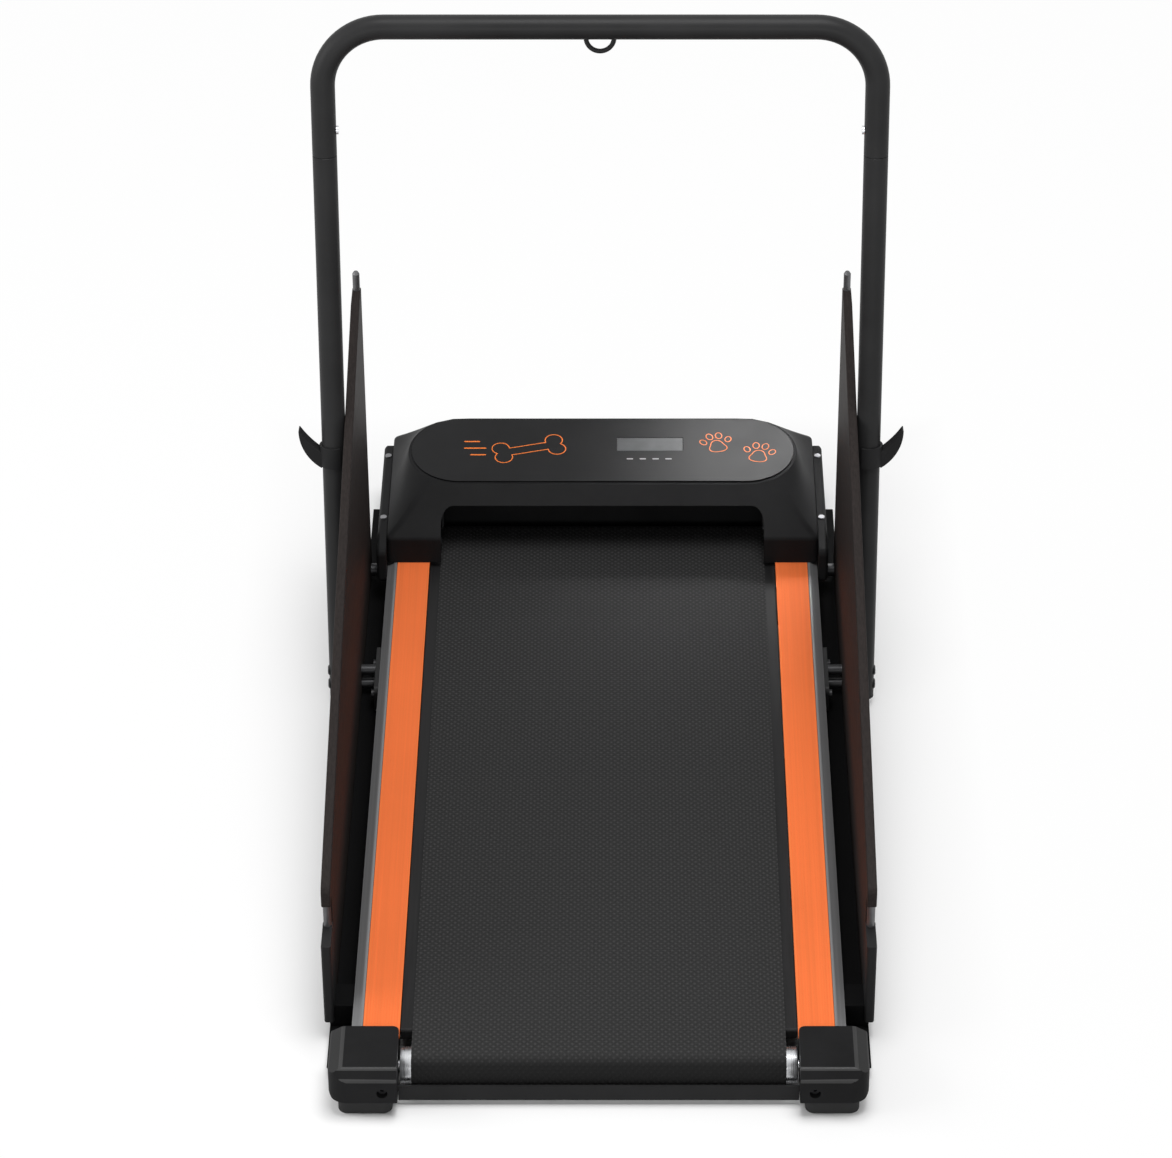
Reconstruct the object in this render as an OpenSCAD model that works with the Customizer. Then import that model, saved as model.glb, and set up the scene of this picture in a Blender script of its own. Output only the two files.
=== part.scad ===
// Dog treadmill: a low belt deck driven by a motor under a hood, with a guard along each side
// and a leaning tube frame whose crossbar carries a leash ring.
// Millimetres. X to the right, Y from the dog's entry towards the hood, Z up.
// The origin is on the floor under the middle of the machine.

/* [Overall] */
// Length from the rear caps to the front of the hood
overall_l = 1185; // [1140:1:1300]

/* [Running deck] */
// Width of the running belt
belt_w = 400; // [370:1:440]
// Thickness of the running belt
belt_t = 2; // [1.5:0.1:3]
// Bare deck board beside the belt, each side
deck_margin = 13; // [12:0.5:18]
// Thickness of the deck board
deck_t = 14; // [11:0.5:16]
// Outer radius of both rollers
roller_r = 20; // [18:0.5:21]
// Height of the roller axes above the floor
roller_z = 32; // [31:0.5:36]
// Rear roller axis, in from the rear end
rear_roller_in = 47; // [44:1:50]
// Front roller axis, in from the hood's near wall
front_roller_in = 79; // [72:1:84]
// Wall of the roller tubes
roller_wall = 3; // [2:0.5:3.5]
// Radius of the roller axles
axle_r = 6; // [5:0.5:6.5]
// Width of the cross members along the deck
member_w = 50; // [40:1:60]
// Sheet thickness of the cross members
member_wall = 2.5; // [1.5:0.5:3]
// Radius of the rubber deck cushions
cushion_r = 14; // [10:1:18]
// Thickness of the rubber deck cushions
cushion_t = 2; // [1:0.5:3]

/* [Side rails] */
// Width of each side rail
rail_w = 50; // [48:1:60]
// Wall of the side rails
rail_wall = 2.5; // [1.5:0.5:3]
// Clear height under the side rails
rail_z0 = 12; // [10:1:13]
// Rise of the foot rails above the belt
rail_step = 3.7; // [3:0.1:6]
// Width of the coloured foot rails
foot_rail_w = 39.5; // [35:0.5:41]
// Thickness of the coloured foot rails
foot_rail_t = 4; // [3:0.5:4.5]
// Spacing of the grooves along the foot rails
groove_pitch = 3; // [2:0.1:5]
// Drop of the sloping shoulder outside the foot rails
shoulder_drop = 8; // [5:0.5:10]
// Thickness of the ledge along the foot of each side rail
ledge_t = 2; // [1.5:0.5:2.5]

/* [Rear caps and feet] */
// Length of the rear caps
cap_l = 76; // [74:1:95]
// Stand-out of the caps beyond the side rails
cap_out = 22; // [18:1:24]
// Rise of the caps above the foot rails
cap_rise = 4; // [4:0.5:8]
// Wall of the caps
cap_wall = 3; // [2:0.5:3.5]
// Radius of the cap's outer rear corner
cap_corner_r = 20; // [10:1:26]
// Length of the bevel along the top rear edge
cap_bevel_l = 7; // [4:1:22]
// Depth of the bevel along the top rear edge
cap_bevel_h = 13; // [5:1:14]
// Height of the rear feet
foot_h = 19; // [16:0.5:19]
// Width of the rear feet
foot_w = 58; // [40:1:64]
// Length of the rear feet
foot_l = 59; // [40:1:62]
// Radius of the tension bolt's shank
tension_r = 3; // [2.5:0.5:3.5]

/* [Motor hood] */
// Length of the hood along the deck
hood_l = 229; // [225:1:245]
// Height of the hood's near wall above the foot rails
hood_near_h = 35; // [25:1:45]
// Height of the hood's far wall above the foot rails
hood_far_h = 38; // [36:1:65]
// Wall of the hood
hood_wall = 3; // [2:0.5:4]
// Radius of the hood's upright corners
hood_corner_r = 7; // [5:1:24]
// Distance of the control panel's ends from the hood's sides
panel_side = 28; // [26:1:60]
// Depth of the control panel
panel_d = 122; // [100:1:126]
// Height of the panel's middle above the foot rails
panel_rise = 86.5; // [80:0.5:95]
// Middle of the panel, in from the hood's near wall
panel_in = 119.5; // [115:0.5:122]
// Tilt of the panel towards the dog
panel_tilt = 6.1; // [3:0.1:9]
// Thickness of the panel's overlay
overlay_t = 2; // [1:0.5:3]
// Width of the display window
display_w = 82; // [60:1:110]
// Depth of the display window
display_d = 26; // [16:1:36]
// Display window to the right of the middle
display_x = 59; // [0:1:100]
// Display window beyond the middle of the panel
display_y = 11; // [0:1:20]
// Overlap of the belt mouth's sides over the belt
mouth_inset = 1; // [0:0.5:6]
// Height of the belt mouth above the foot rails
mouth_h = 62; // [50:1:64]
// Radius of the belt mouth's upper corners
mouth_r = 15; // [8:1:24]
// Thickness of the side trims
trim_t = 12; // [8:1:14]
// Length of the side trims
trim_l = 244; // [200:1:246]
// Height of the side trims
trim_h = 48; // [40:1:52]

/* [Drive] */
// Radius of the motor
motor_r = 32; // [26:1:33]
// Length of the motor
motor_l = 140; // [100:1:150]
// Motor axis, in from the front end
motor_in = 75; // [72:1:80]
// Height of the motor axis above the floor
motor_z = 50; // [49:1:60]
// Radius of the pulley on the front roller
pulley_r = 27; // [22:0.5:28]
// Radius of the pulley on the motor
motor_pulley_r = 11; // [9:0.5:14]
// Width of the pulleys
pulley_w = 11.5; // [9:0.5:11.5]
// Thickness of the drive belt
drive_belt_t = 3; // [2:0.5:3.5]
// Radius of the motor shaft
shaft_r = 5; // [4:0.5:6]
// Radius of the transport wheels
wheel_r = 17; // [15:0.5:18]
// Width of the transport wheels
wheel_w = 22; // [16:1:26]

/* [Side guards] */
// Thickness of the guards
guard_t = 10.4; // [9.8:0.2:14]
// Gap between the side rails and the guards
guard_gap = 21.8; // [20:0.2:28]
// Height of the guards' lower edge
guard_z0 = 20; // [18:1:26]
// Height of the guards at the front
guard_front_h = 408; // [360:1:460]
// Height of the guards at the rear
guard_rear_h = 163.5; // [160:0.5:185]
// Length of the level top at the front
guard_flat_l = 38; // [20:1:60]
// Front edge of the guards, in from the front end
guard_front_in = 185; // [180:1:195]
// Rear edge of the guards, in from the rear end
guard_rear_in = 155; // [150:1:170]
// Radius of the guards' rear corner
guard_corner_r = 10; // [5:1:14]
// Diameter of the upright rods in the guards
rod_d = 8.5; // [7:0.5:9]
// Stand-out of the front rods above the guards
rod_tip = 25; // [15:1:40]
// Height of the rear sockets above the floor
socket_top = 128; // [120:1:130]
// Length of rod left bare above the rear sockets
knuckle_gap = 32; // [20:1:34]

/* [Handle frame] */
// Outer diameter of the tubes
tube_d = 28; // [24:0.5:32]
// Wall of the tubes
tube_wall = 1.5; // [1:0.1:2.5]
// Lean of the frame towards the hood
frame_lean = 8.8; // [0:0.1:12]
// Length from the foot to the crossbar's axis
frame_l = 840; // [800:1:950]
// Length from the seam in the posts up to the crossbar's axis
seam_drop = 152; // [130:1:200]
// Bend radius of the upper corners, at the tube's axis
bend_r = 70; // [50:1:90]
// Place of the posts' feet along the deck
post_y = 151.5; // [100:0.5:180]
// Height of the posts' feet above the floor
post_z = 13; // [5:0.5:16]
// Length of the plates that carry the posts
post_plate_l = 90; // [80:1:110]
// Thickness of the plates that carry the posts
bracket_t = 5; // [4:0.5:8]
// Radius of the post bolts
post_bolt_r = 4; // [3:0.5:4.5]
// Length from the foot to the middle of the hooks
hook_s = 316; // [300:1:400]
// Reach of the hooks from the post's axis
hook_reach = 40.5; // [36:0.5:46]
// Width of the hooks along the deck
hook_w = 16; // [10:1:24]
// Radius of the leash ring at the wire's axis
ring_r = 15.75; // [12:0.25:20]
// Radius of the leash ring's wire
ring_wire_r = 2.75; // [2:0.25:3.5]
// Drop of the leash ring below the crossbar
ring_drop = 17; // [16:0.5:18]

/* [Hidden] */
$fn = 64;

// How far a cut runs past the face that it opens
over = 1;
// Gap left between pieces that fit into one another
fit = 0.3;
// Gap between a turning piece and what it turns on or in
run = 0.05;
// Thickness of the sheets that the hood is drawn over
skin = 0.5;

// Ends of the machine and of its main groups along the deck
rear_end = -overall_l / 2;
front_end = overall_l / 2;
hood_y0 = front_end - hood_l;
hood_y = hood_y0 + hood_l / 2;
rear_y = rear_end + rear_roller_in;
front_y = hood_y0 + front_roller_in;

// Heights that follow from the rollers
deck_top = roller_z + roller_r;
belt_in_r = roller_r + fit;
belt_out_r = belt_in_r + belt_t;
rail_top = roller_z + belt_out_r + rail_step;
deck_z0 = deck_top - deck_t;

// Places across the machine, right-hand side
rail_gap = 3;
rail_in = belt_w / 2 + deck_margin + rail_gap;
rail_out = rail_in + rail_w;
panel_w = 2 * (rail_out - panel_side);
rail_mid = (rail_in + rail_out) / 2;
foot_rail_gap = 0.5;
foot_in = belt_w / 2 + deck_margin + foot_rail_gap;
foot_out = foot_in + foot_rail_w;
lip_in = foot_out + fit;
lip_w = 3;
rail_seat_z = rail_top - foot_rail_t;
shoulder_z = rail_top - shoulder_drop;
ledge_x = rail_out + guard_gap + guard_t / 2;
ledge_z = rail_z0 + ledge_t;

// Places of the caps
cap_lap = 2;
cap_in = rail_in - cap_lap;
cap_edge = rail_out + cap_out;
cap_y1 = rear_end + cap_l;
cap_top = rail_top + cap_rise;
cap_side_bevel_w = 14;
cap_side_bevel_h = 8;
cap_under_bevel = 4;
cap_front_r = 7;
cap_grip_l = 12;
rail_y0 = cap_y1 - cap_grip_l;
wheel_zone_l = 45;
rail_y1 = front_end - wheel_zone_l;

// Rear axle brackets and tension bolts
axle_plate_t = 4;
axle_plate_h = 18;
axle_plate_x = rail_in + rail_wall;
axle_plate_back_l = 24;
axle_plate_front_l = 78;
axle_slot_l = 16;
tension_boss_r = 9;
tension_x = axle_plate_x + axle_plate_t + tension_boss_r - tension_r / 2;
tension_head_r = 5;
tension_head_l = 6;
tension_recess_r = 6;
tension_recess_l = 12;
tension_seat_l = 3.5;
tension_socket_r = 2.4;
tension_socket_l = 3.5;
axle_tab_t = 6;
axle_tab_w = 18;
axle_tab_y = rail_y0 + fit;
axle_end_l = 10;
axle_half = tension_x + axle_end_l;

// Roller ends
roller_half = rail_in - rail_gap - foot_rail_gap;
bearing_ring = 8;
bearing_r = axle_r + bearing_ring;
bearing_w = 8;
hub_l = 16;
hub_in = 1.5;
pulley_gap = 0.9;
pulley_side = rail_in - pulley_gap;
front_roller_left = pulley_side - pulley_w;
groove_count = 5;
pulley_groove_d = 1.2;
pulley_bore_gap = 2;

// Deck and cross members
deck_end_gap = 14;
deck_edge_r = 3;
deck_y0 = rear_y + roller_r + deck_end_gap;
deck_y1 = front_y - roller_r - deck_end_gap;
member_clear = 2;
member_z0 = roller_z - roller_r + member_clear;
member_z1 = deck_z0 - cushion_t;
member_place_shares = [0.13, 0.52, 0.9];
cushion_place_share = 0.75;
rear_strip_t = 3;
rear_strip_drop = 26;
rear_strip_h = 19;
rear_strip_gap = 1.7;

// Hood details
panel_y = hood_y0 + panel_in;
panel_z = rail_top + panel_rise;
panel_rim = 4;
mouth_l = 62;
baffle_t = 2.5;
baffle_gap = 6;
skirt_in = 2;
skirt_t = 3;
skirt_z0 = 16;
hood_tuck_l = 40;
trim_r = 8;
trim_front_gap = 5;
trim_y1 = front_end - trim_front_gap;
trim_y0 = trim_y1 - trim_l;
trim_z1 = rail_top + hood_near_h - trim_front_gap;
trim_z0 = trim_z1 - trim_h;
screw_r = 2;
screw_head_r = 4;
screw_head_l = 1.5;
screw_l = 14;
screw_place_shares = [0.307, 0.877];

// Motor bay
motor_y = front_end - motor_in;
motor_side_gap = 31;
motor_x0 = -rail_in + motor_side_gap;
motor_x1 = motor_x0 + motor_l;
motor_bell_l = 10;
motor_bell_in = 5;
motor_bell_r = motor_r - motor_bell_in;
shaft_grip_l = 60;
motor_sink_count = 8;
motor_groove_d = 1.5;
pan_t = 2.5;
pan_near_gap = 14;
pan_far_gap = 12;
pan_y0 = front_y + belt_out_r + pan_near_gap;
pan_y1 = front_end - pan_far_gap;
pan_lip_h = 11;
saddle_w = 22;
saddle_side_w = 8;
saddle_place_shares = [0.2, 0.8];
board_gap = 65;
board_side_gap = 26;
board_x0 = motor_x1 + board_gap;
board_l = rail_in - board_side_gap - board_x0;
board_w = 66;
board_t = 2;
board_post_h = 5;
board_post_r = 4;
fin_count = 7;
fin_t = 2;
fin_h = 22;
fin_l = 46;
fin_bank_w = 44;
capacitor_r = 9;
capacitor_h = 32;
capacitor_place_shares = [0.06, 0.24];

// Inlet and switch in the front skirt
switch_in = 46;
socket_spacing = 48;
switch_x = cap_in - switch_in;
inlet_x = switch_x - socket_spacing;
socket_rise = 3;
socket_z = (skirt_z0 + rail_top) / 2 + socket_rise;
inlet_w = 27;
inlet_h = 20;
inlet_l = 22;
inlet_wall = 2;
inlet_pin_w = 2;
inlet_pin_h = 4;
inlet_pin_l = 14;
flange_w = 1.5;
flange_t = 1.5;
switch_w = 13;
switch_h = 19;
switch_l = 18;
switch_wall = 1;
switch_well_l = 14;
rocker_gap = 0.6;
rocker_depth = 6;
rocker_dip = 1;
rocker_tilt = 8;
rocker_pin_r = 1.2;
rocker_pin_l = 0.8;
skirt_face = front_end - skirt_in;
rocker_in = 2.7;
rocker_y = skirt_face - rocker_in;

// Wheels
wheel_axle_r = 4;
wheel_clear = 1.5;
wheel_z = wheel_r + wheel_clear;
wheel_in = 5;
wheel_y = front_end - wheel_r - wheel_in;
fork_t = 3;
fork_gap = 3;
fork_lip = 7;
wheel_tyre_groove = 1.2;
front_foot_r = 19;
front_foot_top_r = 16;
front_foot_in = 95;
foot_r = 10;
rear_foot_gap = 1;
foot_side_in = 6;

// Guards
guard_in = rail_out + guard_gap;
guard_out = guard_in + guard_t;
guard_x = (guard_in + guard_out) / 2;
guard_y1 = front_end - guard_front_in;
guard_y0 = rear_end + guard_rear_in;
guard_flat_y = guard_y1 - guard_flat_l;
guard_z1 = guard_z0 + guard_front_h;
guard_rear_z = guard_z0 + guard_rear_h;
guard_slope = atan2(guard_z1 - guard_rear_z, guard_flat_y - guard_y0);
rod_r = rod_d / 2;
rod_skin = 1.75;
rod_edge = rod_r + rod_skin;
front_rod_y = guard_y1 - rod_edge;
rear_rod_y = guard_y0 + rod_edge + rod_r;
knuckle_l = rod_edge + rod_d + rod_r;
knuckle_z = socket_top + knuckle_gap;
rear_rod_grip = 11;
rear_rod_top = knuckle_z + rear_rod_grip;
rod_foot_gap = 4;
rod_point_l = 3;
rod_point_r = 2.5;
socket_wall = 0.3;
socket_gap = 51.5;
socket_front = 3;
socket_lift = 2;
socket_y0 = cap_y1 + socket_gap;
socket_y1 = rear_rod_y + rod_r + socket_front;
socket_z0 = guard_z0 + socket_lift;
socket_floor = 8;
socket_arm_lift = 3;
socket_arm_z0 = rail_z0 + socket_arm_lift;
socket_arm_h = 28;
standoff_r = 8;
standoff_in = 18;
standoff_lift = 9;
standoff_z = guard_z0 + standoff_lift;
side_bolt_r = 3;
side_bolt_head_r = 5.5;
side_bolt_head_l = 4;

// Handle frame
tube_r = tube_d / 2;
tube_in_r = tube_r - tube_wall;
post_x = guard_out + fit + tube_r;
seam_l = frame_l - seam_drop;
post_bolt_low = 14;
post_bolt_gap = 18;
post_bolt_places = [post_bolt_low, post_bolt_low + post_bolt_gap];
bracket_bolt_gap = 30;
bracket_r = 8;
bracket_z0 = ledge_z + fit;
spacer_r = 6.5;
bolt_head_r = 6.5;
bolt_head_l = 1.5;
plug_l = 8;
plug_flange_t = 2;
sleeve_r = tube_in_r - run;
sleeve_wall = 2;
sleeve_fill_share = 0.73;
sleeve_rise = sleeve_fill_share * (seam_drop - bend_r);
joint_bolt_share = 0.5;
joint_bolt_rise = joint_bolt_share * sleeve_rise;
joint_bolt_r = 3;
joint_head_r = 5;
joint_head_l = 2.6;
collar_t = 3;
collar_h = 26;
collar_wrap_share = 0.6;
hook_outer_r = 55.7;
hook_inner_r = 110.5;
hook_outer_x = hook_reach - hook_outer_r;
hook_outer_z = 32.1;
hook_inner_back = 52.8;
hook_inner_z = 93.6;
hook_tip_z = 32.5;

// Draws a right-hand piece on the left
module on_left() {
    mirror([1, 0, 0]) children();
}

// Draws a right-hand piece on both sides
module on_both() {
    children();
    on_left() children();
}

// Bar of an outline in Y and Z, from x0 to x1
module along_x(x0, x1) {
    translate([x0, 0, 0]) rotate([90, 0, 90]) linear_extrude(x1 - x0) children();
}

// Bar of an outline in X and Z, from y0 to y1
module along_y(y0, y1) {
    translate([0, y1, 0]) rotate([90, 0, 0]) linear_extrude(y1 - y0) children();
}

// Bar of an outline in X and Y, from z0 to z1
module along_z(z0, z1) {
    translate([0, 0, z0]) linear_extrude(z1 - z0) children();
}

// Round bar along X at a place in Y and Z
module rod_x(r, x0, x1, y, z) {
    translate([x0, y, z]) rotate([0, 90, 0]) cylinder(r = r, h = x1 - x0);
}

// Round bar along Y at a place in X and Z
module rod_y(r, y0, y1, x, z) {
    translate([x, y1, z]) rotate([90, 0, 0]) cylinder(r = r, h = y1 - y0);
}

// Box between two corners
module box(low, high) {
    translate(low) cube(high - low);
}

// Rectangle with round corners about the origin
module round_rect(w, h, r) {
    square([w - 2 * r, h], center = true);
    square([w, h - 2 * r], center = true);
    for (x = [-1, 1], y = [-1, 1]) {
        translate([x * (w / 2 - r), y * (h / 2 - r)]) circle(r);
    }
}

// Long outline with half-round ends about the origin
module long_oval(w, h) {
    square([w - h, h], center = true);
    for (x = [-1, 1]) {
        translate([x * (w - h) / 2, 0]) circle(h / 2);
    }
}

// Outline of a band that goes round two circles of given radii
module band(a, a_r, b, b_r) {
    gap = b - a;
    turn = atan2(gap.y, gap.x);
    lean = acos((a_r - b_r) / norm(gap));
    function edge(c, r, s) = c + r * [cos(turn + s * lean), sin(turn + s * lean)];
    translate(a) circle(a_r);
    translate(b) circle(b_r);
    polygon([edge(a, a_r, 1), edge(a, a_r, -1), edge(b, b_r, -1), edge(b, b_r, 1)]);
}

// Frame of the leaning posts: Z runs up the post from its foot
module post_frame() {
    translate([0, post_y, post_z]) rotate([-frame_lean, 0, 0]) children();
}

// Place of a point on the post's axis, as Y and Z
function post_point(s) = [post_y + s * sin(frame_lean), post_z + s * cos(frame_lean)];

// Frame of the control panel: Z stands out of its face
module panel_frame() {
    translate([0, panel_y, panel_z]) rotate([panel_tilt, 0, 0]) children();
}

// Side rail: a hollow section with a seat for the foot rail, a sloping shoulder and a ledge towards the guard
module rail_outline() {
    polygon([[rail_in, rail_z0], [ledge_x, rail_z0], [ledge_x, ledge_z], [rail_out, ledge_z],
        [rail_out, shoulder_z], [lip_in + lip_w, rail_top], [lip_in, rail_top], [lip_in, rail_seat_z],
        [rail_in, rail_seat_z]]);
}

module rail_hollow() {
    polygon([[rail_in + rail_wall, rail_z0 + rail_wall], [rail_out - rail_wall, rail_z0 + rail_wall],
        [rail_out - rail_wall, shoulder_z - rail_wall], [lip_in, rail_seat_z - rail_wall],
        [rail_in + rail_wall, rail_seat_z - rail_wall]]);
}

module side_rail() {
    color("#1c1d1f") difference() {
        along_y(rail_y0, rail_y1) difference() {
            rail_outline();
            rail_hollow();
        }
        rod_x(axle_r + run, rail_in - over, rail_in + rail_wall + over, front_y, roller_z);
        for (y = bracket_bolt_ys()) {
            rod_x(side_bolt_r + run, rail_out - rail_wall - over, rail_out + over, y, bracket_mid_z());
        }
        rod_x(side_bolt_r + run, rail_out - rail_wall - over, rail_out + over, standoff_y(), standoff_z);
    }
}

module side_rail_left() {
    on_left() side_rail();
}

module side_rail_right() {
    side_rail();
}

// Foot rail: the coloured strip that the owner may step on, grooved along its length
module foot_rail() {
    groove_w = groove_pitch / 3;
    groove_n = floor((foot_rail_w - groove_pitch) / groove_pitch);
    first = foot_in + (foot_rail_w - (groove_n - 1) * groove_pitch) / 2;
    color("#f0692d") along_y(rail_y0, hood_y0 + hood_tuck_l) difference() {
        translate([foot_in, rail_seat_z]) square([foot_rail_w, foot_rail_t]);
        for (i = [0 : groove_n - 1]) {
            translate([first + i * groove_pitch - groove_w / 2, rail_top - groove_w / 2]) {
                square([groove_w, groove_w]);
            }
        }
    }
}

module foot_rail_left() {
    on_left() foot_rail();
}

module foot_rail_right() {
    foot_rail();
}

// Deck board under the belt's upper run
module deck_board() {
    w = rail_in - rail_gap;
    color("#202022") along_x(-w, w) translate([(deck_y0 + deck_y1) / 2, deck_top - deck_t / 2]) {
        round_rect(deck_y1 - deck_y0, deck_t, deck_edge_r);
    }
}

function member_y(share) = deck_y0 + share * (deck_y1 - deck_y0);

// Rubber cushions between the deck board and the cross members
module deck_cushions() {
    color("#2a2a2b") for (share = member_place_shares, x = [-1, 0, 1]) {
        translate([x * cushion_place_share * rail_in, member_y(share), member_z1]) {
            cylinder(r = cushion_r, h = cushion_t);
        }
    }
}

// Channels that join the side rails inside the belt loop and carry the deck
module cross_members() {
    color("#3a3b3d") for (share = member_place_shares) {
        along_x(-rail_in, rail_in) translate([member_y(share) - member_w / 2, member_z0]) difference() {
            square([member_w, member_z1 - member_z0]);
            translate([member_wall, -over]) {
                square([member_w - 2 * member_wall, member_z1 - member_z0 - member_wall + over]);
            }
        }
    }
}

// Pan that joins the side rails under the motor
module base_pan() {
    color("#3a3b3d") along_x(-rail_in, rail_in) {
        translate([pan_y0, rail_z0]) square([pan_y1 - pan_y0, pan_t]);
        translate([pan_y1 - pan_t, rail_z0]) square([pan_t, pan_lip_h]);
    }
}

// Running belt: a loop round both rollers and the deck board
module belt_outline(r) {
    band([rear_y, roller_z], r, [front_y, roller_z], r);
}

module running_belt() {
    color("#1b1b1c") along_x(-belt_w / 2, belt_w / 2) difference() {
        belt_outline(belt_out_r);
        belt_outline(belt_in_r);
    }
}

// Fixed axle of the rear roller, cross-drilled for the tension bolts
module rear_axle() {
    color("#b9bbbd") difference() {
        rod_x(axle_r, -axle_half, axle_half, rear_y, roller_z);
        for (x = [-tension_x, tension_x]) {
            rod_y(tension_r + run, rear_y - axle_r - over, rear_y + axle_r + over, x, roller_z);
        }
    }
}

// Fixed axle of the front roller, held in the side rails
module front_axle() {
    half = rail_in + rail_wall + axle_end_l;
    color("#b9bbbd") rod_x(axle_r, -half, half, front_y, roller_z);
}

// Slotted plates inside the rails that guide the rear axle, each with a tab for its tension bolt
module rear_axle_bracket() {
    z0 = roller_z - axle_plate_h / 2;
    x1 = axle_plate_x + axle_plate_t;
    difference() {
        union() {
            box([axle_plate_x, rear_y - axle_plate_back_l, z0],
                [x1, rear_y + axle_plate_front_l, z0 + axle_plate_h]);
            box([axle_plate_x, axle_tab_y, z0],
                [x1 + axle_tab_w, axle_tab_y + axle_tab_t, z0 + axle_plate_h]);
        }
        along_x(axle_plate_x - over, x1 + over) translate([rear_y, roller_z]) {
            long_oval(axle_slot_l + 2 * axle_r, 2 * (axle_r + run));
        }
        rod_y(tension_r + run, axle_tab_y - over, axle_tab_y + axle_tab_t + over, tension_x, roller_z);
    }
}

module rear_axle_brackets() {
    color("#8f9194") on_both() rear_axle_bracket();
}

// Tension bolt: pulls the rear axle back in its slot
module tension_bolt() {
    y0 = rear_end + tension_recess_l;
    color("#2b2c2e") difference() {
        union() {
            rod_y(tension_head_r, y0 - tension_head_l, y0, tension_x, roller_z);
            rod_y(tension_r, y0 - over, axle_tab_y + axle_tab_t + axle_end_l, tension_x, roller_z);
        }
        tension_socket(y0);
    }
}

// Hex socket in the head of a tension bolt
module tension_socket(y0) {
    translate([tension_x, y0 - tension_head_l + tension_socket_l, roller_z]) rotate([90, 0, 0]) {
        cylinder(r = tension_socket_r, h = tension_socket_l + over, $fn = 6);
    }
}

module tension_bolt_left() {
    on_left() tension_bolt();
}

module tension_bolt_right() {
    tension_bolt();
}

// Form of a rear cap between two corners: bevelled at the back and side, round at the outer corner
module cap_form(low, high) {
    r = cap_corner_r;
    intersection() {
        along_x(low.x, high.x) polygon([[low.y, low.z], [high.y, low.z], [high.y, high.z],
            [low.y + cap_bevel_l, high.z], [low.y, high.z - cap_bevel_h]]);
        along_y(low.y, high.y) polygon([[low.x, low.z], [high.x - cap_under_bevel, low.z],
            [high.x, low.z + cap_under_bevel], [high.x, high.z - cap_side_bevel_h],
            [high.x - cap_side_bevel_w, high.z], [low.x, high.z]]);
        along_z(low.z, high.z) {
            translate([low.x, low.y]) square([high.x - low.x - r, high.y - low.y]);
            translate([low.x, low.y + r]) square([high.x - low.x, high.y - low.y - r]);
            translate([high.x - r, low.y + r]) circle(r);
        }
    }
}

// What the round on the cap's inner front corner takes away
module cap_front_round() {
    r = cap_front_r;
    along_z(foot_h - over, cap_top + over) difference() {
        translate([cap_in - over, cap_y1 - r]) square([r + over, r + over]);
        translate([cap_in + r, cap_y1 - r]) circle(r);
    }
}

// Rear cap: a shell over the rail's end, with a deep hole to the tension bolt
module rear_cap() {
    recess_y = rear_end + tension_recess_l;
    seat_y = recess_y + tension_seat_l;
    color("#26272a") difference() {
        union() {
            difference() {
                cap_form([cap_in, rear_end, foot_h], [cap_edge, cap_y1, cap_top]);
                cap_form([rail_in - fit, rear_end + cap_wall, foot_h + cap_wall],
                    [cap_edge - cap_wall, cap_y1 + over, cap_top - cap_wall]);
            }
            rod_y(tension_boss_r, rear_end + cap_wall / 2, seat_y, tension_x, roller_z);
        }
        rod_y(tension_recess_r, rear_end - over, recess_y, tension_x, roller_z);
        rod_y(tension_r + fit, rear_end, seat_y + over, tension_x, roller_z);
        rod_x(axle_r + over, cap_in - over, rail_in + over, rear_y, roller_z);
        box([rail_in - fit, rail_y0 - fit, foot_h - over],
            [rail_out + fit, cap_y1 + over, foot_h + cap_wall + over]);
        box([cap_in - over, rail_y0 - fit, rail_seat_z - fit], [rail_in, cap_y1 + over, rail_top + fit]);
        cap_front_round();
    }
}

module rear_cap_left() {
    on_left() rear_cap();
}

module rear_cap_right() {
    rear_cap();
}

// Rubber feet under the rear caps
module rear_feet() {
    x = cap_in + foot_side_in + foot_w / 2;
    y = rail_y0 - rear_foot_gap - foot_l / 2;
    color("#161617") on_both() along_z(0, foot_h) translate([x, y]) round_rect(foot_w, foot_l, foot_r);
}

// Rubber feet under the front of the side rails
module front_feet() {
    color("#161617") on_both() translate([rail_mid, front_end - front_foot_in, 0]) {
        cylinder(r1 = front_foot_r, r2 = front_foot_top_r, h = rail_z0);
    }
}

// Strip that closes the gap under the rear roller
module rear_guard_strip() {
    y1 = rear_y - belt_out_r - rear_strip_gap;
    z0 = roller_z - rear_strip_drop;
    color("#1d1d1e") box([-cap_in, y1 - rear_strip_t, z0], [cap_in, y1, z0 + rear_strip_h]);
}

// Motor can with end bells and cooling grooves
module motor() {
    groove_l = motor_l / (2 * motor_sink_count);
    color("#303134") difference() {
        union() {
            rod_x(motor_r, motor_x0 + motor_bell_l, motor_x1 - motor_bell_l, motor_y, motor_z);
            rod_x(motor_bell_r, motor_x0, motor_x1, motor_y, motor_z);
        }
        for (i = [1 : motor_sink_count - 1]) {
            translate([motor_x0 + i * motor_l / motor_sink_count, motor_y, motor_z]) rotate([0, 90, 0]) {
                difference() {
                    cylinder(r = motor_r + over, h = groove_l, center = true);
                    cylinder(r = motor_r - motor_groove_d, h = groove_l + over, center = true);
                }
            }
        }
        rod_x(shaft_r + run, motor_x0 - over, motor_x0 + shaft_grip_l, motor_y, motor_z);
    }
}

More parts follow.
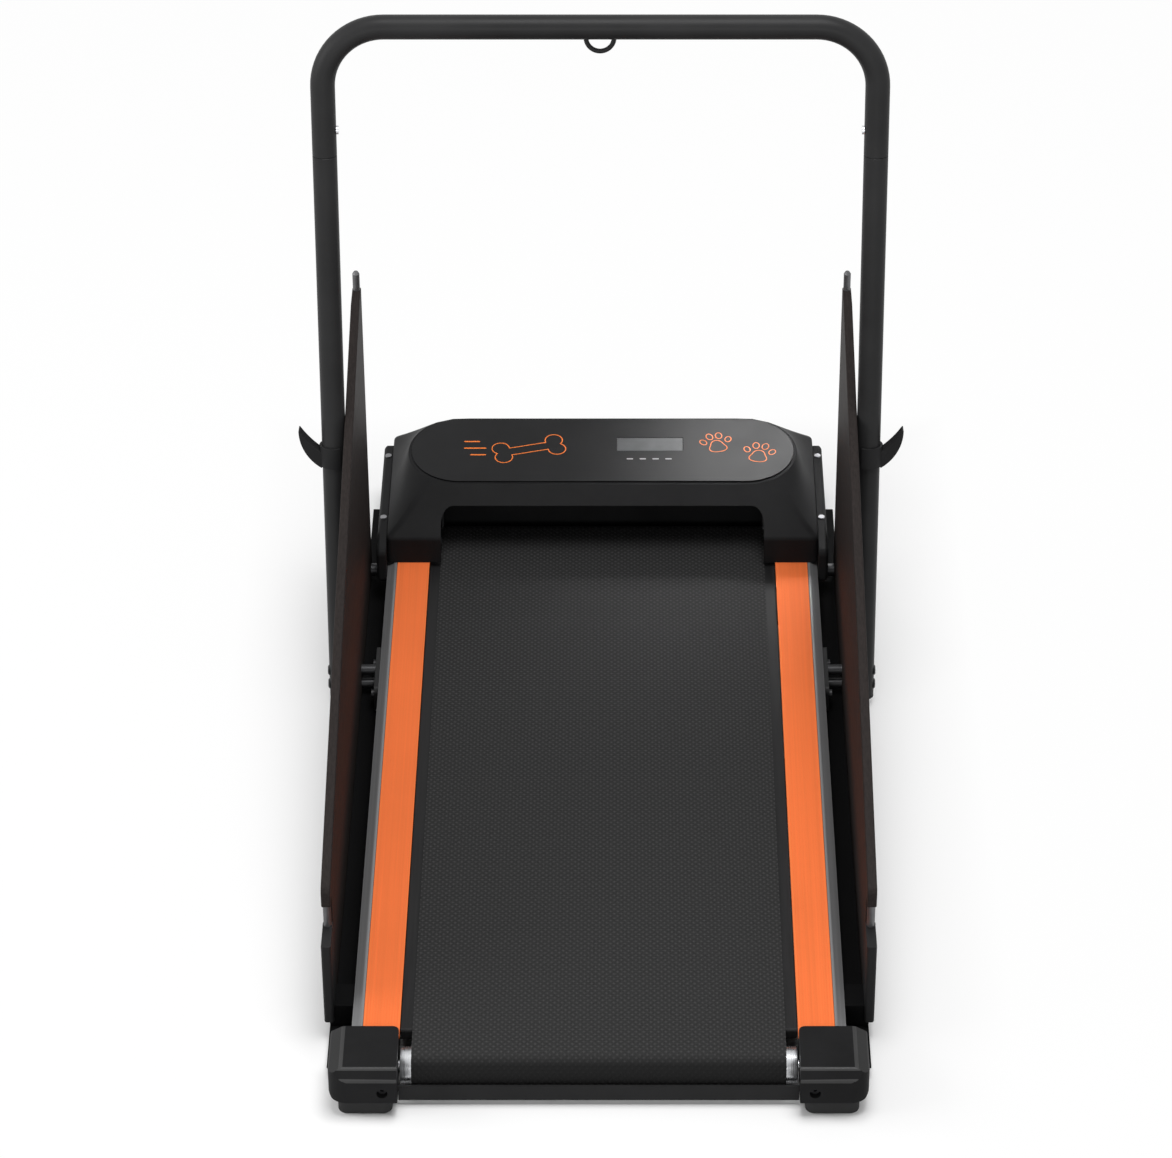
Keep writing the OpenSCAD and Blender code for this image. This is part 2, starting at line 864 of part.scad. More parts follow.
// Saddles that hold the motor on the pan
module motor_mount() {
    z0 = rail_z0 + pan_t;
    color("#4a4b4e") for (share = saddle_place_shares) {
        x = motor_x0 + share * motor_l;
        along_x(x - saddle_w / 2, x + saddle_w / 2) difference() {
            translate([motor_y - motor_r - saddle_side_w, z0]) {
                square([2 * (motor_r + saddle_side_w), motor_z - z0]);
            }
            translate([motor_y, motor_z]) circle(motor_r + run);
        }
    }
}

// Drive belt from the motor to the front roller
module drive_outline(gap) {
    band([front_y, roller_z], pulley_r + gap, [motor_y, motor_z], motor_pulley_r + gap);
}

module drive_belt() {
    color("#151516") along_x(-pulley_side, -pulley_side + pulley_w) difference() {
        drive_outline(fit + drive_belt_t);
        drive_outline(fit);
    }
}

// Pulley with grooves round its rim, from x = 0
module grooved_pulley(r, bore) {
    land = pulley_w / (2 * groove_count + 1);
    rotate([0, 90, 0]) difference() {
        cylinder(r = r, h = pulley_w);
        translate([0, 0, -over]) cylinder(r = bore, h = pulley_w + 2 * over);
        for (i = [0 : groove_count - 1]) {
            translate([0, 0, (2 * i + 1) * land]) difference() {
                cylinder(r = r + over, h = land);
                cylinder(r = r - pulley_groove_d, h = land);
            }
        }
    }
}

module driven_pulley() {
    color("#c4c6c8") translate([-pulley_side, front_y, roller_z]) {
        grooved_pulley(pulley_r, axle_r + pulley_bore_gap);
    }
}

module motor_pulley() {
    color("#c4c6c8") translate([-pulley_side, motor_y, motor_z]) {
        grooved_pulley(motor_pulley_r, shaft_r + run);
    }
}

module motor_shaft() {
    color("#b9bbbd") rod_x(shaft_r, -pulley_side, motor_x0 + shaft_grip_l - run, motor_y, motor_z);
}

// Speed controller: a board on posts with a finned heat sink and two capacitors
module motor_controller() {
    z0 = rail_z0 + pan_t;
    z1 = z0 + board_post_h;
    top = z1 + board_t;
    y0 = motor_y - board_w / 2;
    fin_gap = (fin_bank_w - fin_t) / (fin_count - 1);
    color("#1f4a33") translate([board_x0, y0, 0]) {
        for (x = [board_post_r, board_l - board_post_r], y = [board_post_r, board_w - board_post_r]) {
            translate([x, y, z0]) cylinder(r = board_post_r, h = board_post_h);
        }
        translate([0, 0, z1]) cube([board_l, board_w, board_t]);
        translate([board_l - fin_bank_w, 0, top]) for (i = [0 : fin_count - 1]) {
            translate([i * fin_gap, (board_w - fin_l) / 2, 0]) cube([fin_t, fin_l, fin_h]);
        }
        for (share = capacitor_place_shares) {
            translate([share * board_l + capacitor_r / 2, board_w / 2, top]) {
                cylinder(r = capacitor_r, h = capacitor_h);
            }
        }
    }
}

// Socket for the mains lead, in the front skirt
module power_inlet() {
    y0 = skirt_face - inlet_l;
    color("#141415") translate([inlet_x, 0, socket_z]) {
        difference() {
            union() {
                along_y(y0, skirt_face) square([inlet_w, inlet_h], center = true);
                along_y(skirt_face, skirt_face + flange_t) {
                    square([inlet_w + 2 * flange_w, inlet_h + 2 * flange_w], center = true);
                }
            }
            along_y(y0 + inlet_wall, front_end) {
                square([inlet_w - 2 * inlet_wall, inlet_h - 2 * inlet_wall], center = true);
            }
        }
        for (i = [-1, 0, 1]) {
            along_y(y0 + inlet_wall, y0 + inlet_wall + inlet_pin_l) {
                translate([i * inlet_w / 4, 0]) square([inlet_pin_w, inlet_pin_h], center = true);
            }
        }
    }
}

// Housing of the mains switch, with bearing holes for its rocker
module switch_housing() {
    y0 = skirt_face - switch_l;
    hole = switch_w / 2 + over;
    color("#141415") difference() {
        translate([switch_x, 0, socket_z]) difference() {
            union() {
                along_y(y0, skirt_face) square([switch_w, switch_h], center = true);
                along_y(skirt_face, skirt_face + flange_t) {
                    square([switch_w + 2 * flange_w, switch_h + 2 * flange_w], center = true);
                }
            }
            along_y(skirt_face - switch_well_l, front_end) {
                square([switch_w - 2 * switch_wall, switch_h - 2 * switch_wall], center = true);
            }
        }
        rod_x(rocker_pin_r + run, switch_x - hole, switch_x + hole, rocker_y, socket_z);
    }
}

// Rocker of the mains switch, tipped to its off side
module switch_rocker() {
    half_w = switch_w / 2 - switch_wall - rocker_gap;
    half_h = switch_h / 2 - switch_wall - rocker_gap - rocker_dip;
    pin = switch_w / 2 - switch_wall + rocker_pin_l;
    d = rocker_depth / 2;
    color("#c8322b") translate([switch_x, rocker_y, socket_z]) rotate([rocker_tilt, 0, 0]) {
        along_x(-half_w, half_w) {
            polygon([[-d, -half_h], [d, -half_h], [d - rocker_dip, 0], [d, half_h], [-d, half_h]]);
        }
        rod_x(rocker_pin_r, -pin, pin, 0, 0);
    }
}

// Form of the hood, drawn in from its outer faces by an inset
module hood_form(inset, drop) {
    w = 2 * (rail_out - inset);
    l = hood_l - 2 * inset;
    r = hood_corner_r - inset;
    tilt = atan2(hood_far_h - hood_near_h, hood_l);
    top_z = rail_top + (hood_near_h + hood_far_h) / 2;
    hull() {
        translate([0, hood_y, rail_top - drop]) linear_extrude(skin) round_rect(w, l, r, $fn = 32);
        translate([0, hood_y, top_z - inset - skin]) rotate([tilt, 0, 0]) {
            linear_extrude(skin) round_rect(w, l / cos(tilt), r, $fn = 32);
        }
        panel_frame() translate([0, 0, -inset - skin]) linear_extrude(skin) {
            long_oval(panel_w + 2 * (panel_rim - inset), panel_d + 2 * (panel_rim - inset), $fn = 48);
        }
    }
}

// Wall inside the hood, between the front roller and the motor
module hood_baffle() {
    y0 = front_y + belt_out_r + baffle_gap;
    intersection() {
        hood_form(hood_wall / 2, 0);
        box([-belt_w / 2, y0, rail_top], [belt_w / 2, y0 + baffle_t, panel_z]);
    }
    box([-belt_w / 2, y0, skirt_z0], [belt_w / 2, y0 + baffle_t, rail_top + skirt_in]);
}

// Motor hood: a shell that rises from the rails to the panel, open below and at the belt mouth
module motor_hood() {
    mouth_w = belt_w - 2 * mouth_inset;
    color("#232427") {
        difference() {
            hood_form(0, 0);
            hood_form(hood_wall, over);
            along_y(hood_y0 - over, hood_y0 + mouth_l) translate([0, rail_top]) {
                round_rect(mouth_w, 2 * mouth_h, mouth_r, $fn = 32);
            }
        }
        hood_baffle();
    }
}

// Front skirt under the hood, cut out for the inlet and the switch
module front_skirt() {
    color("#232427") difference() {
        box([-cap_in, skirt_face - skirt_t, skirt_z0], [cap_in, skirt_face, rail_top - run]);
        translate([inlet_x, 0, socket_z]) along_y(skirt_face - skirt_t - over, front_end + over) {
            square([inlet_w + fit, inlet_h + fit], center = true);
        }
        translate([switch_x, 0, socket_z]) along_y(skirt_face - skirt_t - over, front_end + over) {
            square([switch_w + fit, switch_h + fit], center = true);
        }
    }
}

// Glossy overlay of the control panel, cut out for the display
module overlay_panel() {
    color("#18191b") panel_frame() linear_extrude(overlay_t) difference() {
        long_oval(panel_w, panel_d);
        translate([display_x, display_y]) square([display_w, display_d], center = true);
    }
}

// Window of the display
module display_window() {
    color("#3c3d40") panel_frame() translate([display_x, display_y, 0]) linear_extrude(overlay_t) {
        square([display_w - fit, display_d - fit], center = true);
    }
}

function trim_screw_y(share) = trim_y0 + share * trim_l;

// Side trim: covers the seam between the hood and the side rail
module hood_trim() {
    x1 = rail_out + trim_t;
    color("#1e1f21") difference() {
        along_x(rail_out, x1) translate([(trim_y0 + trim_y1) / 2, (trim_z0 + trim_z1) / 2]) {
            round_rect(trim_l, trim_h, trim_r);
        }
        for (share = screw_place_shares) {
            translate([rail_out + trim_t / 2, trim_screw_y(share), trim_z1 - screw_l]) {
                cylinder(r = screw_r + run, h = screw_l + over);
            }
        }
    }
}

module hood_trim_left() {
    on_left() hood_trim();
}

module hood_trim_right() {
    hood_trim();
}

module trim_screws() {
    color("#c9cbcd") on_both() for (share = screw_place_shares) {
        translate([rail_out + trim_t / 2, trim_screw_y(share), trim_z1]) {
            translate([0, 0, run - screw_l]) cylinder(r = screw_r, h = screw_l);
            cylinder(r = screw_head_r, h = screw_head_l);
        }
    }
}

function standoff_y() = guard_y1 - standoff_in;
function bracket_mid_z() = (bracket_z0 + shoulder_z) / 2;
function bracket_mid_y() = post_point((post_bolt_places[0] + post_bolt_places[1]) / 2)[0];
function bracket_bolt_ys() = [bracket_mid_y() - bracket_bolt_gap, bracket_mid_y() + bracket_bolt_gap];

// Outline of a guard: upright front, short level top, long slope and a small round rear corner
module guard_outline() {
    r = guard_corner_r;
    cy = guard_y0 + r;
    cz = guard_rear_z + r * tan(guard_slope) - r / cos(guard_slope);
    polygon([[guard_y1, guard_z0], [guard_y1, guard_z1], [guard_flat_y, guard_z1],
        [cy - r * sin(guard_slope), cz + r * cos(guard_slope)], [cy, cz], [guard_y0, cz],
        [guard_y0, knuckle_z], [guard_y0 + knuckle_l, knuckle_z], [guard_y0 + knuckle_l, guard_z0]]);
    intersection() {
        translate([cy, cz]) circle(r);
        translate([cy - 2 * r, cz]) square([2 * r, 2 * r]);
    }
}

// Side guard: a board that keeps the dog on the belt, drilled for its rods and bolts
module side_guard() {
    color("#1a1a1b") difference() {
        along_x(guard_in, guard_out) guard_outline();
        translate([guard_x, front_rod_y, guard_z0 - over]) {
            cylinder(r = rod_r + run, h = guard_front_h + 2 * over);
        }
        translate([guard_x, rear_rod_y, knuckle_z - over]) {
            cylinder(r = rod_r + run, h = rear_rod_grip + over + run);
        }
        for (s = post_bolt_places) {
            p = post_point(s);
            rod_x(post_bolt_r + run, guard_in - over, guard_out + over, p[0], p[1]);
        }
        rod_x(side_bolt_r + run, guard_in - over, guard_out + over, standoff_y(), standoff_z);
    }
}

module guard_left() {
    on_left() side_guard();
}

module guard_right() {
    side_guard();
}

// Upright rods: the long front ones show above the guards, the short rear ones stand in the sockets
module guard_rods() {
    front_z0 = guard_z0 + rod_foot_gap;
    front_z1 = guard_z1 + rod_tip;
    rear_z0 = socket_z0 + socket_floor;
    color("#b4b6b8") on_both() {
        translate([guard_x, front_rod_y, 0]) {
            along_z(front_z0, front_z1 - rod_point_l) circle(rod_r);
            translate([0, 0, front_z1 - rod_point_l]) cylinder(r1 = rod_r, r2 = rod_point_r, h = rod_point_l);
        }
        translate([guard_x, rear_rod_y, 0]) along_z(rear_z0, rear_rod_top) circle(rod_r);
    }
}

// Rear sockets: sleeves on the side rails that hold the rear rods
module guard_socket() {
    r = (guard_t + 2 * socket_wall) / 4;
    difference() {
        union() {
            along_z(socket_z0, socket_top) translate([guard_x, (socket_y0 + socket_y1) / 2]) {
                round_rect(guard_t + 2 * socket_wall, socket_y1 - socket_y0, r);
            }
            box([rail_out, socket_y0 + r, socket_arm_z0],
                [guard_x, socket_y1 - r, socket_arm_z0 + socket_arm_h]);
        }
        translate([guard_x, rear_rod_y, socket_z0 + socket_floor]) {
            cylinder(r = rod_r + run, h = socket_top);
        }
    }
}

module guard_sockets() {
    color("#141415") on_both() guard_socket();
}

// Round spacers between the side rails and the front of the guards
module guard_standoffs() {
    color("#2b2c2e") on_both() difference() {
        rod_x(standoff_r, rail_out, guard_in, standoff_y(), standoff_z);
        rod_x(side_bolt_r + run, rail_out - over, guard_in + over, standoff_y(), standoff_z);
    }
}

// Black bolts that hold the front of the guards and the post brackets to the side rails
module side_bolts() {
    x0 = rail_out - rail_wall - over;
    x1 = rail_out + bracket_t;
    color("#1b1b1c") on_both() {
        rod_x(side_bolt_r, x0, guard_out + side_bolt_head_l, standoff_y(), standoff_z);
        rod_x(side_bolt_head_r, guard_out, guard_out + side_bolt_head_l, standoff_y(), standoff_z);
        for (y = bracket_bolt_ys()) {
            rod_x(side_bolt_r, x0, x1 + side_bolt_head_l, y, bracket_mid_z());
            rod_x(side_bolt_head_r, x1, x1 + side_bolt_head_l, y, bracket_mid_z());
        }
    }
}

// Plates on the side rails that carry the posts
module post_bracket() {
    difference() {
        along_x(rail_out, rail_out + bracket_t) translate([bracket_mid_y(), bracket_mid_z()]) {
            round_rect(post_plate_l, shoulder_z - bracket_z0, bracket_r);
        }
        for (y = bracket_bolt_ys()) {
            rod_x(side_bolt_r + run, rail_out - over, rail_out + bracket_t + over, y, bracket_mid_z());
        }
        for (s = post_bolt_places) {
            p = post_point(s);
            rod_x(post_bolt_r + run, rail_out - over, rail_out + bracket_t + over, p[0], p[1]);
        }
    }
}

module post_brackets() {
    color("#2b2c2e") on_both() post_bracket();
}

// Bright bolts that clamp each post and guard to its bracket, with a spacer on each bolt
module post_bolts() {
    x1 = post_x + tube_r;
    color("#c9cbcd") on_both() for (s = post_bolt_places) {
        p = post_point(s);
        rod_x(post_bolt_r, rail_out + run, x1 + bolt_head_l, p[0], p[1]);
        translate([x1, p[0], p[1]]) rotate([0, 90, 0]) {
            cylinder(r1 = bolt_head_r, r2 = bolt_head_r - bolt_head_l, h = bolt_head_l);
        }
        difference() {
            rod_x(spacer_r, rail_out + bracket_t, guard_in, p[0], p[1]);
            rod_x(post_bolt_r + run, rail_out, guard_in + over, p[0], p[1]);
        }
    }
}

// Lower post: a straight tube from its foot to the seam
module post() {
    color("#1c1d1f") difference() {
        post_frame() translate([post_x, 0, 0]) difference() {
            cylinder(r = tube_r, h = seam_l);
            translate([0, 0, -over]) cylinder(r = tube_in_r, h = seam_l + 2 * over);
        }
        for (s = post_bolt_places) {
            p = post_point(s);
            rod_x(post_bolt_r + run, post_x - tube_d, post_x + tube_d, p[0], p[1]);
        }
    }
}

module post_left() {
    on_left() post();
}

module post_right() {
    post();
}

// Plastic plugs in the lower ends of the posts
module post_plugs() {
    color("#141415") on_both() post_frame() translate([post_x, 0, 0]) {
        cylinder(r = tube_in_r - run, h = plug_l);
        translate([0, 0, -plug_flange_t]) cylinder(r = tube_r, h = plug_flange_t);
    }
}

// Path of the upper tube, filled to a radius: two uprights, two bends and the crossbar
module bent_bar(r, lower) {
    straight = frame_l - bend_r;
    reach = post_x - bend_r;
    on_both() {
        translate([post_x, 0, lower]) cylinder(r = r, h = straight - lower);
        translate([reach, 0, straight]) rotate([90, 0, 0]) {
            rotate_extrude(angle = 90) translate([bend_r, 0]) circle(r);
        }
    }
    rod_x(r, -reach, reach, 0, frame_l);
}

// Upper frame: one bent tube that stands on the posts
module handle_frame() {
    color("#1c1d1f") post_frame() difference() {
        bent_bar(tube_r, seam_l);
        bent_bar(tube_in_r, seam_l - over);
        on_both() rod_x(joint_bolt_r + run, post_x - tube_d, post_x, 0, seam_l + joint_bolt_rise);
    }
}

// Inner sleeves that join the posts to the upper frame
module joint_sleeves() {
    color("#6b6d70") on_both() post_frame() difference() {
        translate([post_x, 0, seam_l - sleeve_rise]) difference() {
            cylinder(r = sleeve_r, h = 2 * sleeve_rise);
            translate([0, 0, -over]) cylinder(r = sleeve_r - sleeve_wall, h = 2 * (sleeve_rise + over));
        }
        rod_x(joint_bolt_r + run, post_x - tube_d, post_x, 0, seam_l + joint_bolt_rise);
    }
}

// Bolts through the upper frame into the sleeves
module joint_bolts() {
    head_x = post_x - tube_r;
    end_x = post_x - sleeve_r + sleeve_wall + over;
    color("#c9cbcd") on_both() post_frame() {
        rod_x(joint_bolt_r, head_x - joint_head_l, end_x, 0, seam_l + joint_bolt_rise);
        rod_x(joint_head_r, head_x - joint_head_l, head_x, 0, seam_l + joint_bolt_rise);
    }
}

// Leash ring: a half ring of wire welded under the crossbar
module leash_ring() {
    color("#1c1d1f") post_frame() difference() {
        translate([0, 0, frame_l - tube_r - ring_drop + ring_r + ring_wire_r]) rotate([90, 180, 0]) {
            rotate_extrude(angle = 180) translate([ring_r, 0]) circle(ring_wire_r);
        }
        rod_x(tube_r, -bend_r, bend_r, 0, frame_l);
    }
}

// Leash hook: a spring clip round the outer side of the post, with a crescent that curls outwards and up
module hook() {
    collar_r = tube_r + collar_t;
    back = -collar_wrap_share * tube_r;
    color("#17181a") post_frame() translate([post_x, 0, hook_s]) difference() {
        union() {
            intersection() {
                translate([0, 0, -collar_h / 2]) cylinder(r = collar_r, h = collar_h);
                box([back, -collar_r, -collar_h], [collar_r, collar_r, collar_h]);
            }
            rotate([90, 0, 0]) linear_extrude(hook_w, center = true) intersection() {
                difference() {
                    translate([hook_outer_x, hook_outer_z]) circle(hook_outer_r);
                    translate([-hook_inner_back, hook_inner_z]) circle(hook_inner_r);
                }
                translate([tube_r, hook_tip_z - 2 * hook_outer_r]) square(2 * hook_outer_r);
            }
        }
        translate([0, 0, -collar_h]) cylinder(r = tube_r + run, h = 2 * collar_h);
    }
}

module hook_left() {
    on_left() hook();
}

module hook_right() {
    hook();
}

// Forks on the rails' front ends that carry the transport wheels, with their axles
module wheel_fork() {
    x0 = rail_mid - wheel_w / 2 - fork_gap;
    x1 = rail_mid + wheel_w / 2 + fork_gap;
    difference() {
        union() {
            box([rail_in + rail_wall, rail_y1, rail_z0],
                [rail_out - rail_wall, rail_y1 + fork_t, shoulder_z - rail_wall]);
            for (x = [x0 - fork_t, x1]) {
                box([x, rail_y1, rail_z0], [x + fork_t, wheel_y, wheel_z + fork_lip]);
                rod_x(fork_lip, x, x + fork_t, wheel_y, wheel_z);
            }
        }
        rod_x(wheel_axle_r + run, x0 - fork_t - over, x1 + fork_t + over, wheel_y, wheel_z);
    }
    rod_x(wheel_axle_r, x0 - fork_t - over, x1 + fork_t + over, wheel_y, wheel_z);
}

module wheel_forks() {
    color("#6b6d70") on_both() wheel_fork();
}

// Transport wheel with a grooved tread
module wheel() {
    color("#202123") translate([rail_mid - wheel_w / 2, wheel_y, wheel_z]) rotate([0, 90, 0]) difference() {
        cylinder(r = wheel_r, h = wheel_w);
        translate([0, 0, -over]) cylinder(r = wheel_axle_r + run, h = wheel_w + 2 * over);
        translate([0, 0, wheel_w / 2]) difference() {
            cylinder(r = wheel_r + over, h = wheel_w / 4, center = true);
            cylinder(r = wheel_r - wheel_tyre_groove, h = wheel_w, center = true);
        }
    }
}

module wheel_left() {
    on_left() wheel();
}

module wheel_right() {
    wheel();
}

// Roller tube between two ends, at a place along the deck
module roller_tube(x0, x1, y) {
    difference() {
        rod_x(roller_r, x0, x1, y, roller_z);
        rod_x(roller_r - roller_wall, x0 - over, x1 + over, y, roller_z);
    }
}

module rear_roller() {
    color("#d6d8da") roller_tube(-roller_half, roller_half, rear_y);
}

module front_roller() {
    color("#d6d8da") roller_tube(-front_roller_left, roller_half, front_y);
}

// Hub and ball bearing in a roller's right end, where the end is at x
module roller_end(x, y) {
    difference() {
        rod_x(roller_r - roller_wall - run, x - hub_l, x, y, roller_z);
        rod_x(bearing_r + run, x - hub_in - bearing_w, x + over, y, roller_z);
        rod_x(axle_r + over, x - hub_l - over, x, y, roller_z);
    }
    difference() {
        rod_x(bearing_r, x - hub_in - bearing_w + run, x - hub_in, y, roller_z);
        rod_x(axle_r + run, x - hub_l, x + over, y, roller_z);
    }
}

module rear_bearings() {
    color("#9c9ea1") on_both() roller_end(roller_half, rear_y);
}

module front_bearings() {
    color("#9c9ea1") {
        roller_end(roller_half, front_y);
        on_left() roller_end(front_roller_left, front_y);
    }
}

side_rail_left();
side_rail_right();
foot_rail_left();
foot_rail_right();
deck_board();
deck_cushions();
cross_members();
base_pan();
running_belt();
rear_axle();
front_axle();
rear_axle_brackets();
rear_cap_left();
rear_cap_right();
rear_feet();
front_feet();
rear_guard_strip();
motor();
motor_mount();
drive_belt();
motor_controller();
power_inlet();
switch_housing();
motor_hood();
front_skirt();
overlay_panel();
display_window();
hood_trim_left();
hood_trim_right();
trim_screws();
guard_left();
guard_right();
guard_rods();
guard_sockets();
guard_standoffs();
side_bolts();
post_brackets();
post_bolts();
post_left();
post_right();
post_plugs();
handle_frame();
joint_sleeves();
joint_bolts();
leash_ring();
hook_left();
hook_right();
wheel_forks();
rear_roller();
rear_bearings();
front_roller();
front_bearings();
driven_pulley();
motor_shaft();
motor_pulley();
tension_bolt_left();
tension_bolt_right();
switch_rocker();
wheel_left();
wheel_right();
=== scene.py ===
"""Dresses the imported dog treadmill: its pieces, their finishes, and a plain studio round it."""
import math

import bmesh
import bpy
from bpy.props import FloatProperty, FloatVectorProperty, PointerProperty
from mathutils import Matrix, Vector


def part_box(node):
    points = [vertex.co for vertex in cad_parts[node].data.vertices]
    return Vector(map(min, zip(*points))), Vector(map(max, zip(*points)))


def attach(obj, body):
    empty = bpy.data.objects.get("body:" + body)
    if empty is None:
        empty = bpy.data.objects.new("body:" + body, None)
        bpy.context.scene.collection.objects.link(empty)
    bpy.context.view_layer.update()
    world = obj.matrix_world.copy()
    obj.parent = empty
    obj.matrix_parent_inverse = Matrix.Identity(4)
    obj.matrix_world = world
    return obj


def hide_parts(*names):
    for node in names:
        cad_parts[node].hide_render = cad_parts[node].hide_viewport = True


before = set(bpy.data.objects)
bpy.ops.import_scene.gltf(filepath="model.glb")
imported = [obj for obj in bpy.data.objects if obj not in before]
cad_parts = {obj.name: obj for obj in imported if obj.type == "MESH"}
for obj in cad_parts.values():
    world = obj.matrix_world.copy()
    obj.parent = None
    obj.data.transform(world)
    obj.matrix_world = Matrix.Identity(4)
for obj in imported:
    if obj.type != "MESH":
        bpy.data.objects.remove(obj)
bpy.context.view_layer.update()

bl_info = {
    "name": "Dog treadmill",
    "version": (1, 0, 0),
    "blender": (4, 5, 0),
    "location": "3D View > Sidebar > Treadmill",
    "description": "Models and finishes a dog treadmill on its packed frame",
    "category": "Object",
}

BELT_LOW, BELT_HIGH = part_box("running_belt")
RAIL_LOW, RAIL_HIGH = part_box("side_rail_right")
FOOT_RAIL_LOW, FOOT_RAIL_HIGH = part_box("foot_rail_right")
CAP_LOW, CAP_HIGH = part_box("rear_cap_right")
HOOD_LOW, HOOD_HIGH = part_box("motor_hood")
TRIM_LOW, TRIM_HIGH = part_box("hood_trim_right")
GUARD_LOW, GUARD_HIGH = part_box("guard_right")
SOCKET_LOW, SOCKET_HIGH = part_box("guard_sockets")
FEET_LOW, FEET_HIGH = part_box("rear_feet")
ROLLER_LOW, ROLLER_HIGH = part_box("rear_roller")
WHEEL_LOW, WHEEL_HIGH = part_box("wheel_right")

SAME = 1e-6  # metres within which two places count as one


def length(name, default, description):
    """A length that the sidebar shows in the scene's unit."""
    return FloatProperty(
        name=name, description=description, default=default, min=0, unit="LENGTH", precision=4
    )


def angle(name, degrees, description):
    """An angle that the sidebar shows in degrees."""
    return FloatProperty(
        name=name, description=description, default=math.radians(degrees), subtype="ANGLE"
    )


def colour(name, default, description):
    """A colour that the sidebar shows as a swatch."""
    return FloatVectorProperty(
        name=name, description=description, default=default, size=3, min=0, max=1, subtype="COLOR"
    )


class TreadmillSizes(bpy.types.PropertyGroup):
    tube_r: length("Tube radius", 0.014, "Outer radius of the frame's tubes")
    tube_lip: length("Seam lip", 0.0008, "Chamfer on the tubes' ends, which shows as the seam")
    post_x: length("Post place", 0.3125, "Distance of the posts from the middle")
    post_y: length("Post foot", 0.1515, "Place of the posts' feet along the deck")
    post_z: length("Post clearance", 0.013, "Height of the posts' feet above the floor")
    lean: angle("Lean", 8.8, "Lean of the frame towards the hood")
    seam: length("Seam", 0.688, "Length from the posts' feet to the seam")
    crossbar: length("Crossbar", 0.84, "Length from the posts' feet to the crossbar's axis")
    bend_r: length("Bend radius", 0.07, "Bend of the upper corners at the tube's axis")
    ring_r: length("Ring radius", 0.01575, "Radius of the leash ring at the wire's axis")
    ring_wire_r: length("Ring wire", 0.00275, "Radius of the leash ring's wire")
    ring_at: length("Ring place", 0.8275, "Length from the posts' feet to the ring's middle")
    hook_at: length("Hook place", 0.316, "Length from the posts' feet to the hooks' middle")
    hook_w: length("Hook width", 0.016, "Width of the hooks along the deck")
    guard_flat: length("Level top", 0.038, "Level part of the guards' top at the front")
    guard_rear_z: length("Rear height", 0.1835, "Height of the guards' rear corner")
    guard_knuckle_z: length("Knuckle height", 0.16, "Height of the cut-out above the rear sockets")
    guard_knuckle: length("Knuckle length", 0.01875, "Length of the cut-out above the rear sockets")
    guard_corner_r: length("Guard corner", 0.01, "Radius of the guards' rear corner")
    belt_t: length("Belt thickness", 0.002, "Thickness of the running belt")
    weave: length("Weave", 0.008, "Repeat of the belt's diamond weave")
    rail_lip: length("Rail lip", 0.003, "Width of the lip beside the foot rails")
    shoulder: length("Shoulder", 0.008, "Drop of the side rails' sloping shoulder")
    # The ledge, in near-black, fills the gap beside the guard where there is only shade: painted
    # shade.
    ledge_t: length("Ledge", 0.002, "Thickness of the ledge along the side rails' foot")
    cap_bevel_l: length("Cap bevel length", 0.007, "Length of the bevel on the caps' rear edge")
    cap_bevel_h: length("Cap bevel height", 0.013, "Height of the bevel on the caps' rear edge")
    cap_side_w: length("Cap side bevel", 0.014, "Width of the bevel on the caps' outer edge")
    cap_side_h: length("Cap side drop", 0.008, "Height of the bevel on the caps' outer edge")
    cap_edge_r: length("Cap edge round", 0.005, "Radius of the rounds along the steep edges")
    cap_fold_r: length("Cap fold round", 0.012, "Radius of the rounds along the shallow edges")
    cap_corner_r: length("Cap corner", 0.02, "Radius of the caps' outer rear corner")
    hood_floor: length("Hood foot", 0.058, "Height of the hood's lower edge")
    hood_near_z: length("Near wall", 0.093, "Height of the hood's near wall")
    hood_far_z: length("Far wall", 0.096, "Height of the hood's far wall")
    hood_corner_r: length("Hood corner", 0.007, "Radius of the hood's upright corners")
    hood_wall: length("Hood wall", 0.003, "Wall of the hood")
    hood_edge_r: length("Hood edge", 0.0035, "Reach of the round between the hood's wall and slope")
    rim_edge_r: length("Rim edge", 0.0012, "Reach of the round between the hood's slope and rim")
    panel_y: length("Panel place", 0.483, "Middle of the control panel along the deck")
    panel_z: length("Panel height", 0.1445, "Middle of the control panel above the floor")
    panel_tilt: angle("Panel tilt", 6.1, "Tilt of the control panel towards the dog")
    panel_w: length("Panel width", 0.476, "Width of the control panel")
    panel_d: length("Panel depth", 0.122, "Depth of the control panel")
    panel_rim: length("Panel rim", 0.004, "Rim of the hood round the control panel")
    panel_t: length("Panel thickness", 0.002, "Thickness of the control panel's overlay")
    display_x: length("Display place", 0.059, "Middle of the display, right of the middle")
    display_y: length("Display offset", 0.011, "Middle of the display beyond the panel's middle")
    display_w: length("Display width", 0.082, "Width of the display")
    display_d: length("Display depth", 0.026, "Depth of the display")
    mouth_half: length("Mouth half width", 0.199, "Half of the belt mouth's width")
    mouth_z: length("Mouth height", 0.12, "Height of the belt mouth's top")
    mouth_l: length("Mouth length", 0.062, "Length of the belt mouth along the deck")
    mouth_r: length("Mouth corner", 0.015, "Radius of the belt mouth's upper corners")
    print_w: length("Print line", 0.0013, "Line width of the printed motifs")


